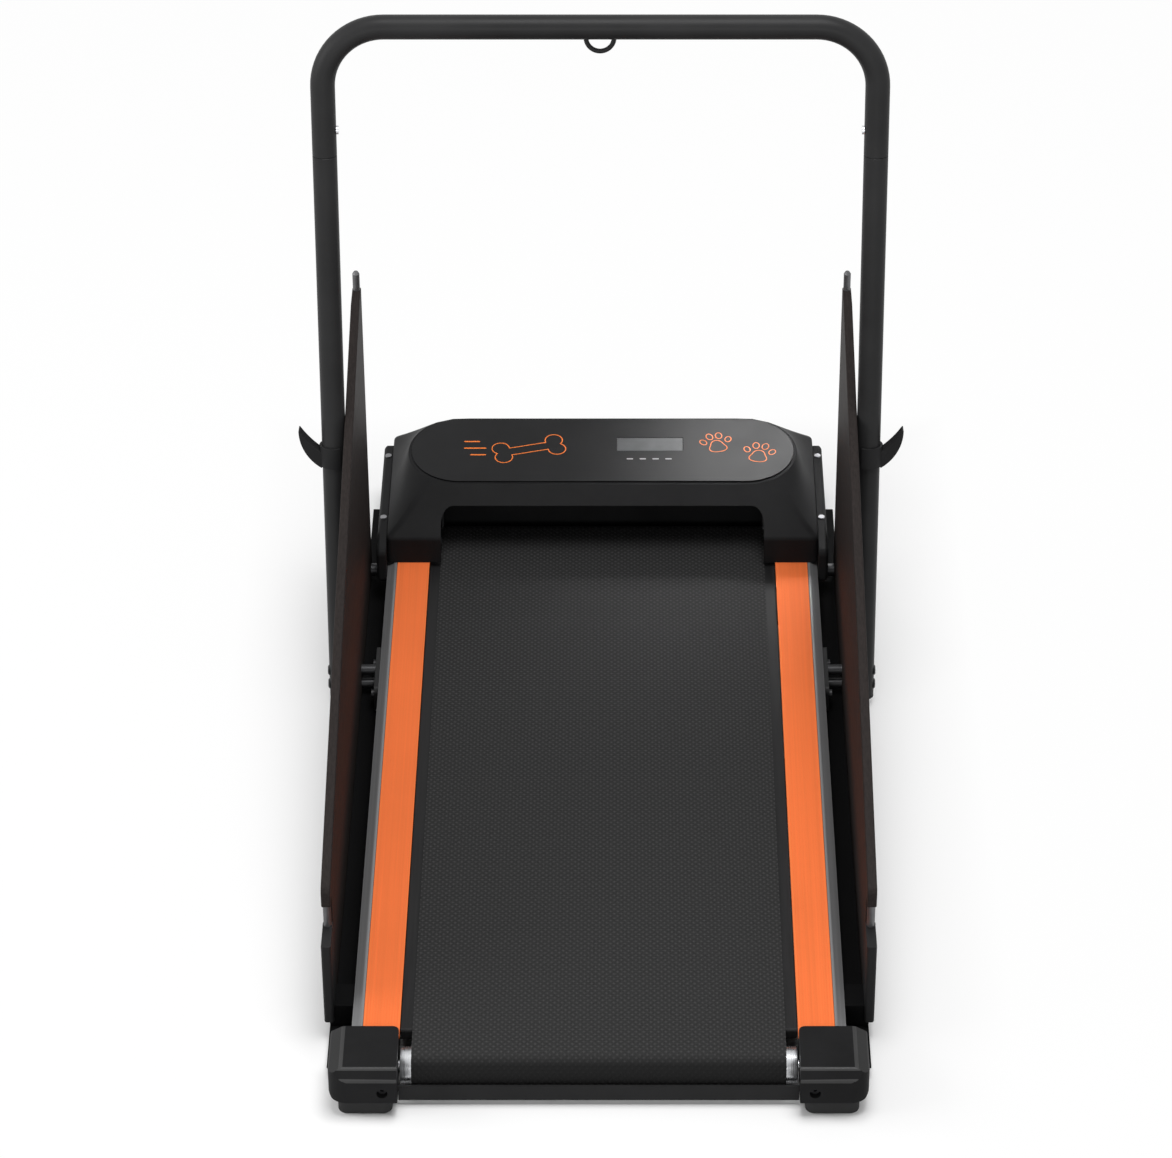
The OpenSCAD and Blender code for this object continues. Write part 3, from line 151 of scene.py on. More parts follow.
class TreadmillColours(bpy.types.PropertyGroup):
    orange: colour("Orange", (0.87, 0.196, 0.056), "Foot rails")
    print_orange: colour("Print orange", (0.86, 0.2, 0.03), "Printed motifs")
    frame_black: colour("Frame black", (0.024, 0.024, 0.0245), "Powder coat of the tubes")
    moulding: colour("Moulding", (0.016, 0.016, 0.0165), "Hood, caps and trims")
    # Dark board colour with a warm tint that is a painted reflection of the orange foot rails.
    board: colour("Board", (0.022, 0.018, 0.017), "Side guards")
    belt: colour("Belt", (0.031, 0.031, 0.0312), "Running belt")
    rail: colour("Rail", (0.2, 0.2, 0.203), "Shoulders of the side rails")
    rubber: colour("Rubber", (0.016, 0.016, 0.0163), "Feet and tyres")


class TreadmillStage(bpy.types.PropertyGroup):
    floor: colour("Floor", (0.9, 0.9, 0.9), "Pale studio floor")
    ambient: FloatProperty(
        name="Ambient", description="Strength of the even light", default=0.25, min=0
    )
    paper: FloatProperty(
        name="White paper", description="Share of plain white that the camera sees in the floor",
        default=0.95, min=0, max=1, subtype="FACTOR",
    )
    contact: length("Contact shadow", 0.2, "Width of the floor that shows the full shadow")


def clear_selection():
    if bpy.context.mode != "OBJECT":
        bpy.ops.object.mode_set(mode="OBJECT")
    bpy.ops.object.select_all(action="DESELECT")


def take(obj):
    """Makes one object the only selected and active one."""
    clear_selection()
    obj.select_set(True)
    bpy.context.view_layer.objects.active = obj


def fresh(name, add, **settings):
    """Adds a primitive, a lamp or a camera under a name."""
    clear_selection()
    add(**settings)
    obj = bpy.context.active_object
    obj.name = obj.data.name = name
    return obj


def edit(obj):
    """Opens a mesh with all of it selected."""
    take(obj)
    bpy.context.tool_settings.mesh_select_mode = (True, False, False)
    bpy.ops.object.mode_set(mode="EDIT")
    bpy.ops.mesh.select_all(action="SELECT")


def done():
    bpy.ops.object.mode_set(mode="OBJECT")


def pick(obj, kind, test):
    """Opens a mesh with the vertices, edges or faces selected whose middle passes a test."""
    edit(obj)
    bpy.context.tool_settings.mesh_select_mode = [kind == k for k in ("VERT", "EDGE", "FACE")]
    mesh = bmesh.from_edit_mesh(obj.data)
    for group in (mesh.faces, mesh.edges, mesh.verts):
        for item in group:
            item.select_set(False)
    found = 0
    for item in {"VERT": mesh.verts, "EDGE": mesh.edges, "FACE": mesh.faces}[kind]:
        corners = [item] if kind == "VERT" else item.verts
        if test(sum((v.co for v in corners), Vector()) / len(corners)):
            item.select_set(True)
            found += 1
    mesh.select_flush_mode()
    bmesh.update_edit_mesh(obj.data)
    if not found:
        raise RuntimeError(f"nothing to pick on {obj.name}")


def pull(move, widen=1, at=(0, 0, 0)):
    """Extrudes what is selected by a vector, and widens the new end about a point."""
    bpy.ops.mesh.extrude_region_move(TRANSFORM_OT_translate={"value": move})
    if widen != 1:
        bpy.ops.transform.resize(value=(widen, widen, 1), center_override=at)


def face_out(obj):
    """Merges a piece's doubles and turns its faces outwards."""
    edit(obj)
    bpy.ops.mesh.remove_doubles(threshold=SAME)
    bpy.ops.mesh.normals_make_consistent(inside=False)
    done()


def ring_through(name, points, fill="NOTHING"):
    """A closed line through points, open or filled with one face, ready to be pulled."""
    circle = bpy.ops.mesh.primitive_circle_add
    obj = fresh(name, circle, vertices=len(points), fill_type=fill)
    for vertex, point in zip(obj.data.vertices, points):
        vertex.co = point
    edit(obj)
    return obj


def ring_of(name, radius, sides, at):
    """A circle of edges about a point, facing up, ready to be pulled."""
    obj = fresh(name, bpy.ops.mesh.primitive_circle_add, vertices=sides, radius=radius)
    edit(obj)
    bpy.ops.transform.translate(value=at)
    return obj


def outline_solid(name, points, axis, low, high):
    """Solid of an outline pulled along X, Y or Z from low to high."""
    n = "XYZ".index(axis)
    obj = ring_through(name, [(*p[:n], low, *p[n:]) for p in points], "NGON")
    move = Vector()
    move[n] = high - low
    pull(move)
    done()
    face_out(obj)
    return obj


def block(name, low, high):
    """A box between two corners, to be cut and softened."""
    low, high = Vector(low), Vector(high)
    obj = fresh(name, bpy.ops.mesh.primitive_cube_add, size=1)
    edit(obj)
    bpy.ops.transform.resize(value=high - low, center_override=(0, 0, 0))
    bpy.ops.transform.translate(value=(high + low) / 2)
    done()
    return obj


def loft(name, loops):
    """A skin through loops of as many points each, pulled from one on to the next."""
    obj = ring_through(name, loops[0])
    for before, after in zip(loops, loops[1:]):
        pull((0, 0, 0))
        mesh = bmesh.from_edit_mesh(obj.data)
        for vertex in [v for v in mesh.verts if v.select]:
            far = [(point - vertex.co).length_squared for point in before]
            vertex.co = after[far.index(min(far))]
        bmesh.update_edit_mesh(obj.data)
    return obj


def turned(name, profile, sides, at=(0, 0, 0)):
    """A solid turned about X: profile is (x, radius) from one end to the other."""
    turns = [2 * math.pi * i / sides for i in range(sides)]
    round_x = [Vector((0, math.cos(a), math.sin(a))) for a in turns]
    middles = [(Vector(at) + Vector((x, 0, 0)), r) for x, r in profile]
    obj = loft(name, [[middle + r * v for v in round_x] for middle, r in middles])
    bpy.ops.mesh.edge_face_add()
    first = profile[0][0] + at[0]
    pick(obj, "EDGE", lambda m: abs(m.x - first) < SAME)
    bpy.ops.mesh.edge_face_add()
    done()
    face_out(obj)
    smooth(obj)
    return obj


def smooth(obj, degrees=32):
    take(obj)
    bpy.ops.object.shade_smooth_by_angle(angle=math.radians(degrees))


def finish_modifier(obj, kind, **settings):
    take(obj)
    modifier = obj.modifiers.new(kind.title(), kind)
    for key, value in settings.items():
        setattr(modifier, key, value)
    bpy.ops.object.modifier_apply(modifier=modifier.name)


def smooth_flats(obj):
    """Smooths a piece so that its large faces stay flat beside their rounds."""
    smooth(obj)
    if obj.data.has_custom_normals:
        bpy.ops.mesh.customdata_custom_splitnormals_clear()
    finish_modifier(obj, "WEIGHTED_NORMAL", keep_sharp=True)


def soften(obj, width, segments=3, degrees=28):
    """Rounds every edge that turns more than an angle."""
    finish_modifier(
        obj, "BEVEL", width=width, segments=segments, limit_method="ANGLE",
        angle_limit=math.radians(degrees),
    )
    smooth_flats(obj)


def cut(obj, tool):
    """Takes one solid out of another."""
    finish_modifier(obj, "BOOLEAN", object=tool, operation="DIFFERENCE", solver="EXACT")
    bpy.data.objects.remove(tool)


def slice_off(obj, point, normal):
    """Cuts a corner off along a plane and closes the cut."""
    edit(obj)
    bpy.ops.mesh.bisect(plane_co=point, plane_no=normal, use_fill=True, clear_outer=True)
    done()


def seat(obj, matrix):
    """Puts a piece that was modelled flat into its place, and its place into its mesh."""
    obj.matrix_world = matrix
    take(obj)
    bpy.ops.object.transform_apply(location=True, rotation=True, scale=True)


def left_copy(obj):
    """A mirrored copy on the other side, with its own mesh."""
    take(obj)
    bpy.ops.object.duplicate()
    copy = bpy.context.active_object
    copy.name = copy.data.name = obj.name.replace("right", "left")
    edit(copy)
    bpy.ops.transform.resize(value=(-1, 1, 1), center_override=(0, 0, 0))
    bpy.ops.mesh.flip_normals()
    done()
    if copy.data.has_custom_normals:
        smooth_flats(copy)
    return copy


def arc(centre, r, start, end, steps):
    """Points along an arc from one angle to another."""
    x, y = centre
    angles = [start + (end - start) * i / steps for i in range(steps + 1)]
    return [(x + r * math.cos(a), y + r * math.sin(a)) for a in angles]


def round_rect(w, h, r, steps):
    points = []
    for corner, (x, y) in enumerate(((1, -1), (1, 1), (-1, 1), (-1, -1))):
        start = math.pi / 2 * (corner - 1)
        points += arc((x * (w / 2 - r), y * (h / 2 - r)), r, start, start + math.pi / 2, steps)
    return points


def placed(points, x, y, turn=0, k=1):
    """An outline scaled, turned by degrees and moved."""
    c, s = k * math.cos(math.radians(turn)), k * math.sin(math.radians(turn))
    return [(x + u * c - v * s, y + u * s + v * c) for u, v in points]


def post_frame(sizes):
    turn = Matrix.Rotation(-sizes.lean, 4, "X")
    return Matrix.Translation((0, sizes.post_y, sizes.post_z)) @ turn


def panel_frame(sizes):
    turn = Matrix.Rotation(sizes.panel_tilt, 4, "X")
    return Matrix.Translation((0, sizes.panel_y, sizes.panel_z)) @ turn


def sum_node(operation, reflected=False):
    """A method that adds a Math node, with its two sides changed over if reflected."""
    def made(self, other=0):
        sides = (other, self) if reflected else (self, other)
        return self.nodes.node("ShaderNodeMath", dict(enumerate(sides)), operation=operation)
    return made


class Value:
    """A socket of a node tree that takes part in sums."""

    def __init__(self, nodes, socket):
        self.nodes = nodes
        self.socket = socket

    __add__, __radd__ = sum_node("ADD"), sum_node("ADD", True)
    __sub__, __rsub__ = sum_node("SUBTRACT"), sum_node("SUBTRACT", True)
    __mul__, __rmul__ = sum_node("MULTIPLY"), sum_node("MULTIPLY", True)
    __truediv__, __gt__ = sum_node("DIVIDE"), sum_node("GREATER_THAN")
    __abs__, fraction = sum_node("ABSOLUTE"), sum_node("FRACT")
    least, most = sum_node("MINIMUM"), sum_node("MAXIMUM")

    def repeat(self, step):
        """Distance to the middle of the cell, in steps from -0.5 to 0.5."""
        return (self / step).fraction() - 0.5


class Nodes:
    """A node tree that takes values and sums of values."""

    def __init__(self, tree):
        self.tree = tree

    def feed(self, socket, value):
        if isinstance(value, Value):
            self.tree.links.new(value.socket, socket)
        else:
            socket.default_value = value

    def node(self, kind, inputs=None, output=0, **settings):
        """One node: its settings come first, then the values or links of its sockets."""
        made = self.tree.nodes.new(kind)
        for key, value in settings.items():
            setattr(made, key, value)
        for key, value in (inputs or {}).items():
            self.feed(made.inputs[key], value)
        return Value(self, made.outputs[output])

    def seen(self):
        """One for what the camera sees, in a mirror or through glass too, and nought for light."""
        rays = [
            self.node("ShaderNodeLightPath", output=f"Is {kind} Ray")
            for kind in ("Camera", "Glossy", "Transmission")
        ]
        return rays[0].most(rays[1]).most(rays[2])


class Finish(Nodes):
    """A material: a Principled shader and what drives it."""

    def __init__(self, name, colour, specular, metallic=0.0):
        self.material = bpy.data.materials.new(name)
        self.material.use_nodes = True
        super().__init__(self.material.node_tree)
        self.shader = self.tree.nodes["Principled BSDF"]
        self.colour = tuple(colour)
        self.material.diffuse_color = (*colour, 1)
        self.set("Base Color", (*colour, 1))
        self.set("Specular IOR Level", specular)
        self.set("Metallic", metallic)

    def set(self, name, value):
        self.feed(self.shader.inputs[name], value)

    def place(self, stretch=(1, 1, 1), source="Object"):
        where = self.node("ShaderNodeTexCoord", output=source)
        return self.node("ShaderNodeMapping", {"Vector": where, "Scale": stretch})

    def axes(self, vector):
        return [self.node("ShaderNodeSeparateXYZ", {0: vector}, output=i) for i in range(3)]

    def noise(self, scale, detail, stretch=(1, 1, 1), rough=0.55, source="Object"):
        here = self.place(stretch, source)
        return self.node(
            "ShaderNodeTexNoise",
            {"Vector": here, "Scale": scale, "Detail": detail, "Roughness": rough},
        )

    def spread(self, value, low, high):
        """Maps the middle of a noise, 0.3 to 0.7, to a range."""
        return self.node(
            "ShaderNodeMapRange",
            {"Value": value, "From Min": 0.3, "From Max": 0.7, "To Min": low, "To Max": high},
        )

    def tone(self, factor, dark, light):
        """Base colour between two multiples of the finish's own colour."""
        ends = [(*(min(c * k, 1) for c in self.colour), 1) for k in (dark, light)]
        sockets = {0: factor, 6: ends[0], 7: ends[1]}
        self.set("Base Color", self.node("ShaderNodeMix", sockets, output=2, data_type="RGBA"))

    def relief(self, height, depth, strength):
        sockets = {"Height": height, "Strength": strength, "Distance": depth}
        self.set("Normal", self.node("ShaderNodeBump", sockets))

    def mottle(self, noise, tones, roughness):
        """Tone and roughness that follow one noise."""
        self.tone(self.spread(noise, 0, 1), *tones)
        self.set("Roughness", self.spread(noise, *roughness))


def surface(
    name, colour, specular, metallic=0.0, *, grain, tones, roughness, fine=None, relief=None
):
    """A finish whose tone and roughness follow one grain, with it or a finer one in relief."""
    f = Finish(name, colour, specular, metallic)
    body = f.noise(*grain)
    f.mottle(body, tones, roughness)
    if relief:
        f.relief(f.noise(*fine) if fine else body, *relief)
    return f.material


def powder_coat(name, colour, roughness=0.42):
    """Baked powder paint: a fine orange-peel skin with faint cloudiness."""
    return surface(
        name, colour, 0.1, grain=(9, 3), tones=(0.82, 1.2),
        roughness=(roughness - 0.05, roughness + 0.06), fine=(900, 2), relief=(0.0001, 0.35),
    )


def moulded(name, colour, roughness, grain, depth, specular):
    """Moulded plastic with a fine spark-etched grain."""
    f = Finish(name, colour, specular)
    pits = f.node("ShaderNodeTexVoronoi", {"Vector": f.place(), "Scale": grain})
    cloud = f.noise(14, 4)
    f.tone(f.spread(cloud, 0, 1), 0.85, 1.18)
    f.set("Roughness", f.spread(cloud, roughness - 0.05, roughness + 0.05) + 0.06 * pits)
    f.relief(pits, depth, 0.4)
    return f.material


def running_weave(name, colour, step, top):
    """Belt cover: raised diamonds with paler tips, darkened round the rollers by painted shade."""
    f = Finish(name, colour, 0.1)
    u, v, _ = f.axes(f.node("ShaderNodeTexCoord", output="UV"))
    diamond = abs(abs(u.repeat(step)) + abs(v.repeat(step)) - 0.5) * 2
    tip = f.node("ShaderNodeMapRange", {"Value": diamond, "From Min": 0.35, "From Max": 0.95})
    thread = f.noise(420, 3, source="UV")
    _, _, height = f.axes(f.place())
    # Painted shade: one on the belt's top, falling to nought below it, so the belt round the
    # rollers is drawn darker.
    painted_wrap_shade = f.node(
        "ShaderNodeMapRange", {"Value": height, "From Min": top - 0.008, "From Max": top - 0.0005}
    )
    worn = 0.2 + 0.8 * (tip * 0.8 + f.spread(thread, 0, 0.3)).least(1.0)
    f.tone(worn * (0.06 + 0.94 * painted_wrap_shade), 0.25, 1.78)
    f.set("Roughness", 0.68 - 0.14 * tip)
    f.relief(tip + 0.25 * thread, 0.0009, 0.75)
    return f.material


def foot_rail_orange(name, colour):
    """Coloured strip with faint lengthwise streaks and clouds."""
    f = Finish(name, colour, 0.06)
    streak = f.noise(1, 5, (220, 1.5, 1), 0.6)
    f.tone(f.spread(streak, 0, 0.6) + f.spread(f.noise(6, 2), 0, 0.4), 0.9, 1.08)
    f.set("Roughness", f.spread(streak, 0.5, 0.64))
    f.relief(streak, 0.0001, 0.25)
    return f.material


def drawn_metal(name, colour, roughness, along, metallic=1.0):
    """Metal with fine lines left by drawing or turning."""
    f = Finish(name, colour, 0.5, metallic)
    lines = f.noise(1, 5, along, 0.6)
    f.tone(f.spread(f.noise(60, 3), 0, 1), 0.82, 1.1)
    f.set("Roughness", f.spread(lines, roughness - 0.08, roughness + 0.1))
    f.relief(lines, 0.00004, 0.3)
    return f.material


def rubber(name, colour, ribs=0.0):
    """Matt rubber with a chalky bloom."""
    f = Finish(name, colour, 0.26)
    f.mottle(f.noise(45, 5), (0.8, 1.35), (0.7, 0.88))
    height = f.noise(380, 3)
    if ribs:
        _, y, _ = f.axes(f.place())
        height = height * 0.3 + abs(y.repeat(ribs)) * 2
    f.relief(height, 0.0003, 0.4)
    return f.material


def display_face(name, colour):
    """Smoked window over an unlit dot display."""
    f = Finish(name, colour, 0.2)
    x, y, _ = f.axes(f.place())
    dots = (abs(x.repeat(0.0016)) > 0.4).most(abs(y.repeat(0.0016)) > 0.4)
    haze = f.noise(40, 3)
    f.tone(f.spread(haze, 0.2, 0.8) - 0.2 * dots, 0.8, 1.2)
    f.set("Roughness", f.spread(haze, 0.31, 0.38))
    return f.material


def ink(name, colour):
    """Screen-printed ink with a slightly uneven body."""
    return surface(name, colour, 0.3, grain=(500, 3), tones=(0.9, 1.08), roughness=(0.38, 0.52))


def circuit_board(name, colour):
    """Lacquered board with paler tracks on a square grid."""
    f = Finish(name, colour, 0.4)
    x, y, _ = f.axes(f.place())
    grid = (abs(x.repeat(0.006)) > 0.43).most(abs(y.repeat(0.0045)) > 0.43)
    f.tone((grid * 0.8 + 0.2 * f.noise(120, 3)).least(1.0), 0.7, 2.0)
    f.set("Roughness", 0.45 - 0.12 * grid)
    return f.material


def make_finishes():
    c = bpy.context.scene.treadmill_colours
    s = bpy.context.scene.treadmill_sizes
    return {
        "frame": powder_coat("frame_powder_coat", c.frame_black),
        "rail": surface(  # dark anodised metal with lengthwise drawing lines
            "rail_anodised", c.rail, 0.3, 0.2, grain=(1, 5, (500, 1.2, 500), 0.6),
            tones=(0.85, 1.15), roughness=(0.34, 0.48), relief=(0.00005, 0.3),
        ),
        # Near-black that paints the shade in the gap between rail and guard: the rails' sides and
        # foot ledge, and the guard arms.
        "rail_shade_black": moulded("rail_painted_shade", (0.004, 0.004, 0.0042), 0.6, 500, 0.0001, 0.03),
        "orange": foot_rail_orange("foot_rail_orange", c.orange),
        "belt": running_weave("belt_diamond_weave", c.belt, s.weave, BELT_HIGH.z),
        "hood": moulded("hood_moulding", c.moulding, 0.42, 620, 0.00012, 0.03),
        "cap": moulded("cap_moulding", c.moulding, 0.42, 420, 0.00014, 0.015),
        # A lighter copy of the cap's moulding: painted highlight on the caps' outer bevel.
        "cap_side": moulded(
            "cap_side_moulding", (0.0235, 0.0235, 0.0237), 0.42, 520, 0.0001, 0.1
        ),
        # Paler again: painted highlight lines along the caps' rounds.
        "cap_edge": moulded("cap_edge_moulding", (0.035, 0.035, 0.0353), 0.4, 520, 0.00005, 0.2),
        "plain": moulded("plain_moulding", c.moulding, 0.5, 480, 0.00015, 0.1),
        # Its colour carries the warm painted reflection of the orange rails.
        "board": surface(  # coated board with faint rolling marks along the deck
            "guard_board", c.board, 0.06, grain=(12, 4, (40, 2, 40)),
            tones=(0.75, 1.3), roughness=(0.52, 0.64), fine=(700, 2), relief=(0.00008, 0.3),
        ),
        "rubber": rubber("foot_rubber", c.rubber),
        "tyre": rubber("tyre_rubber", c.rubber),
        "ribbed": rubber("drive_belt_rubber", c.rubber, 0.004),
        "overlay": surface(  # glossy print under a clear film
            "panel_overlay", (0.007, 0.007, 0.0075), 0.13, grain=(30, 3),
            tones=(0.9, 1.15), roughness=(0.31, 0.38), fine=(260, 2), relief=(0.00002, 0.2),
        ),
        "display": display_face("display_window", (0.075, 0.077, 0.08)),
        "ink": ink("orange_print", c.print_orange),
        "mark": ink("grey_print", (0.3, 0.3, 0.3)),
        "deck": surface(  # film-faced board with a faint pressed grain
            "deck_film", (0.014, 0.014, 0.0145), 0.12, grain=(1, 5, (300, 12, 300)),
            tones=(0.75, 1.3), roughness=(0.42, 0.58), relief=(0.0001, 0.3),
        ),
        "chrome": surface(  # polished steel with a few hairlines round the tube
            "roller_steel", (0.56, 0.57, 0.585), 0.5, 1.0, grain=(1, 3, (900, 4, 4)),
            tones=(0.92, 1.05), roughness=(0.22, 0.34),
        ),
        "zinc": drawn_metal("zinc_plate", (0.62, 0.63, 0.65), 0.3, (60, 60, 60)),
        "dull": drawn_metal("dull_zinc", (0.24, 0.24, 0.25), 0.45, (60, 60, 60)),
        "steel": drawn_metal("dark_steel", (0.09, 0.092, 0.097), 0.42, (2, 200, 200)),
        "rod": drawn_metal("rod_metal", (0.14, 0.14, 0.144), 0.5, (200, 200, 3)),
        "pulley": drawn_metal("turned_pulley", (0.68, 0.69, 0.7), 0.3, (400, 6, 6)),
        "bolt": drawn_metal("black_bolt", (0.03, 0.03, 0.032), 0.4, (80, 80, 80), 0.6),
        "motor": powder_coat("motor_enamel", (0.016, 0.016, 0.018), 0.35),
        "circuit": circuit_board("circuit_lacquer", (0.012, 0.07, 0.035)),
        "red": moulded("switch_red", (0.5, 0.018, 0.014), 0.3, 700, 0.00005, 0.45),
    }


FINISHES = {}


def finish_of(name):
    if not FINISHES:
        FINISHES.update(make_finishes())
    return FINISHES[name]


def hand_over(obj, slot, finish, *nodes, body="base"):
    """Gives a finished piece its material and its body, and hides the nodes that it stands for."""
    obj.data.materials.clear()
    obj.data.materials.append(finish_of(finish))
    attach(obj, body)
    if nodes:
        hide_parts(*nodes)


def hand_over_pair(obj, slot, finish, *nodes):
    """Hands over a right-hand piece and its left copy; a node without a side goes to the right."""
    other = left_copy(obj)
    hand_over(obj, slot, finish, *nodes)
    left_nodes = [node.replace("right", "left") for node in nodes if "right" in node]
    hand_over(other, slot, finish, *left_nodes)
    return obj, other


def refinish(obj, finish, test):
    """Gives the faces whose middle passes a test a finish of their own."""
    obj.data.materials.append(finish_of(finish))
    pick(obj, "FACE", test)
    obj.active_material_index = len(obj.data.materials) - 1
    bpy.ops.object.material_slot_assign()
    done()


def dress(finish, *nodes):
    """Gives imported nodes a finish."""
    for name in nodes:
        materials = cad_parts[name].data.materials
        materials.clear()
        materials.append(finish_of(finish))


class Piece:
    """Shared by the operators: the sizes of the scene."""

    bl_options = {"REGISTER"}

    @property
    def sizes(self):
        return bpy.context.scene.treadmill_sizes


class TREADMILL_OT_frame_tubes(Piece, bpy.types.Operator):
    """Draws the posts and bends the upper frame that stands on them"""

    bl_idname = "treadmill.frame_tubes"
    bl_label = "Frame tubes"

    sides, bend_steps, tube_wall = 64, 18, 0.0015

    def start(self, name, z):
        """A tube's chamfered lower end on the right post's axis."""
        s = self.sizes
        narrow, lip = s.tube_r - s.tube_lip, s.tube_lip
        obj = ring_of(name, narrow, self.sides, (s.post_x, 0, z))
        pull((0, 0, lip), s.tube_r / narrow, (s.post_x, 0, z + lip))
        return obj

    def end(self, rise, x):
        """Chamfers the end of the tube that is being pulled, at the seam."""
        s = self.sizes
        pull((0, 0, rise), (s.tube_r - s.tube_lip) / s.tube_r, (x, 0, s.seam))
        done()

    def post(self):
        s = self.sizes
        lengths = 4
        obj = self.start("post_tube_right", 0)
        for _ in range(lengths):
            pull((0, 0, (s.seam - 2 * s.tube_lip) / lengths))
        self.end(s.tube_lip, s.post_x)
        return obj

    def bend(self, x, z):
        """Turns the tube through a quarter about a point."""
        bpy.ops.mesh.spin(
            steps=self.bend_steps, angle=math.pi / 2, center=(x, 0, z), axis=(0, 1, 0)
        )

    def upper(self):
        s = self.sizes
        lengths = 4
        straight = s.crossbar - s.bend_r
        reach = s.post_x - s.bend_r
        leg = straight - s.seam - s.tube_lip
        obj = self.start("upper_frame", s.seam)
        pull((0, 0, leg))
        self.bend(reach, straight)
        for _ in range(lengths):
            pull((-2 * reach / lengths, 0, 0))
        self.bend(-reach, straight)
        pull((0, 0, -leg))
        self.end(-s.tube_lip, -s.post_x)
        top = max(v.co.z for v in obj.data.vertices)
        if abs(top - s.crossbar - s.tube_r) > 1e-4:
            raise RuntimeError(f"the frame's bends turned the wrong way: {top}")
        return obj

    def execute(self, context):
        post, upper = self.post(), self.upper()
        for obj in (post, upper):
            face_out(obj)
            finish_modifier(obj, "SOLIDIFY", thickness=self.tube_wall, offset=-1)
            smooth(obj, 40)
            seat(obj, post_frame(self.sizes))
        hand_over_pair(post, "frame_paint", "frame", "post_right")
        hand_over(upper, "frame_paint", "frame", "handle_frame")
        dress("plain", "post_plugs")
        dress("steel", "joint_sleeves")
        dress("zinc", "joint_bolts")
        return {"FINISHED"}


class TREADMILL_OT_leash_ring(Piece, bpy.types.Operator):
    """Bends the wire ring under the crossbar, with a fillet of weld at each end"""

    bl_idname = "treadmill.leash_ring"
    bl_label = "Leash ring"

    def execute(self, context):
        s = self.sizes
        flare, sides, steps = 1.45, 24, 28
        stub, weld = 0.003, 0.0027
        plain = stub - weld
        top = s.ring_at + stub
        obj = ring_of("leash_wire", s.ring_wire_r * flare, sides, (s.ring_r, 0, top))
        pull((0, 0, -weld), 1 / flare, (s.ring_r, 0, s.ring_at + plain))
        pull((0, 0, -plain))
        bpy.ops.mesh.spin(steps=steps, angle=math.pi, center=(0, 0, s.ring_at), axis=(0, -1, 0))
        pull((0, 0, plain))
        pull((0, 0, weld), flare, (-s.ring_r, 0, top))
        done()
        if min(v.co.z for v in obj.data.vertices) > s.ring_at - s.ring_r:
            raise RuntimeError("the leash ring turned the wrong way")
        face_out(obj)
        smooth(obj, 60)
        seat(obj, post_frame(s))
        hand_over(obj, "frame_paint", "frame", "leash_ring")
        return {"FINISHED"}


class TREADMILL_OT_leash_hooks(Piece, bpy.types.Operator):
    """Shapes the spring clips on the posts and the crescent hook on each"""

    bl_idname = "treadmill.leash_hooks"
    bl_label = "Leash hooks"

    def crescent(self):
        """Outline in X and Z of a hook that curls outwards and up from the post."""
        outer, outer_r = Vector((-0.0152, 0.0321)), 0.0557
        inner, inner_r = Vector((-0.0528, 0.0936)), 0.1105
        tip, root, steps = 0.0325, self.sizes.tube_r + 0.0004, 14
        def at_root(centre, r):
            x = root - centre.x
            return math.atan2(-math.sqrt(r * r - x * x), x)
        def at_tip(centre, r):
            return math.asin((tip - centre.y) / r)
        ends = [(at_root(*a), at_tip(*a)) for a in ((outer, outer_r), (inner, inner_r))]
        points = arc(outer, outer_r, *ends[0], steps)
        return points + arc(inner, inner_r, *reversed(ends[1]), steps)

    def clip(self):
        """Outline in X and Y of a clip that wraps the outer side of the post."""
        play, wall, grip, steps = 0.00005, 0.003, 0.6, 40
        r = self.sizes.tube_r + play
        ends = math.acos(-grip * self.sizes.tube_r / (r + wall / 2))
        return arc((0, 0), r + wall, -ends, ends, steps) + arc((0, 0), r, ends, -ends, steps)

    def execute(self, context):
        s = self.sizes
        clip_half, edge = 0.013, 0.0008
        half = s.hook_w / 2
        hook = outline_solid("leash_hook_right", self.crescent(), "Y", -half, half)
        soften(hook, edge, 3, 40)
        collar = outline_solid("hook_clip_right", self.clip(), "Z", -clip_half, clip_half)
        soften(collar, edge, 2, 50)
        place = post_frame(s) @ Matrix.Translation((s.post_x, 0, s.hook_at))
        for obj, nodes in ((hook, ["hook_right"]), (collar, [])):
            seat(obj, place)
            hand_over_pair(obj, "black_plastic", "plain", *nodes)
        return {"FINISHED"}


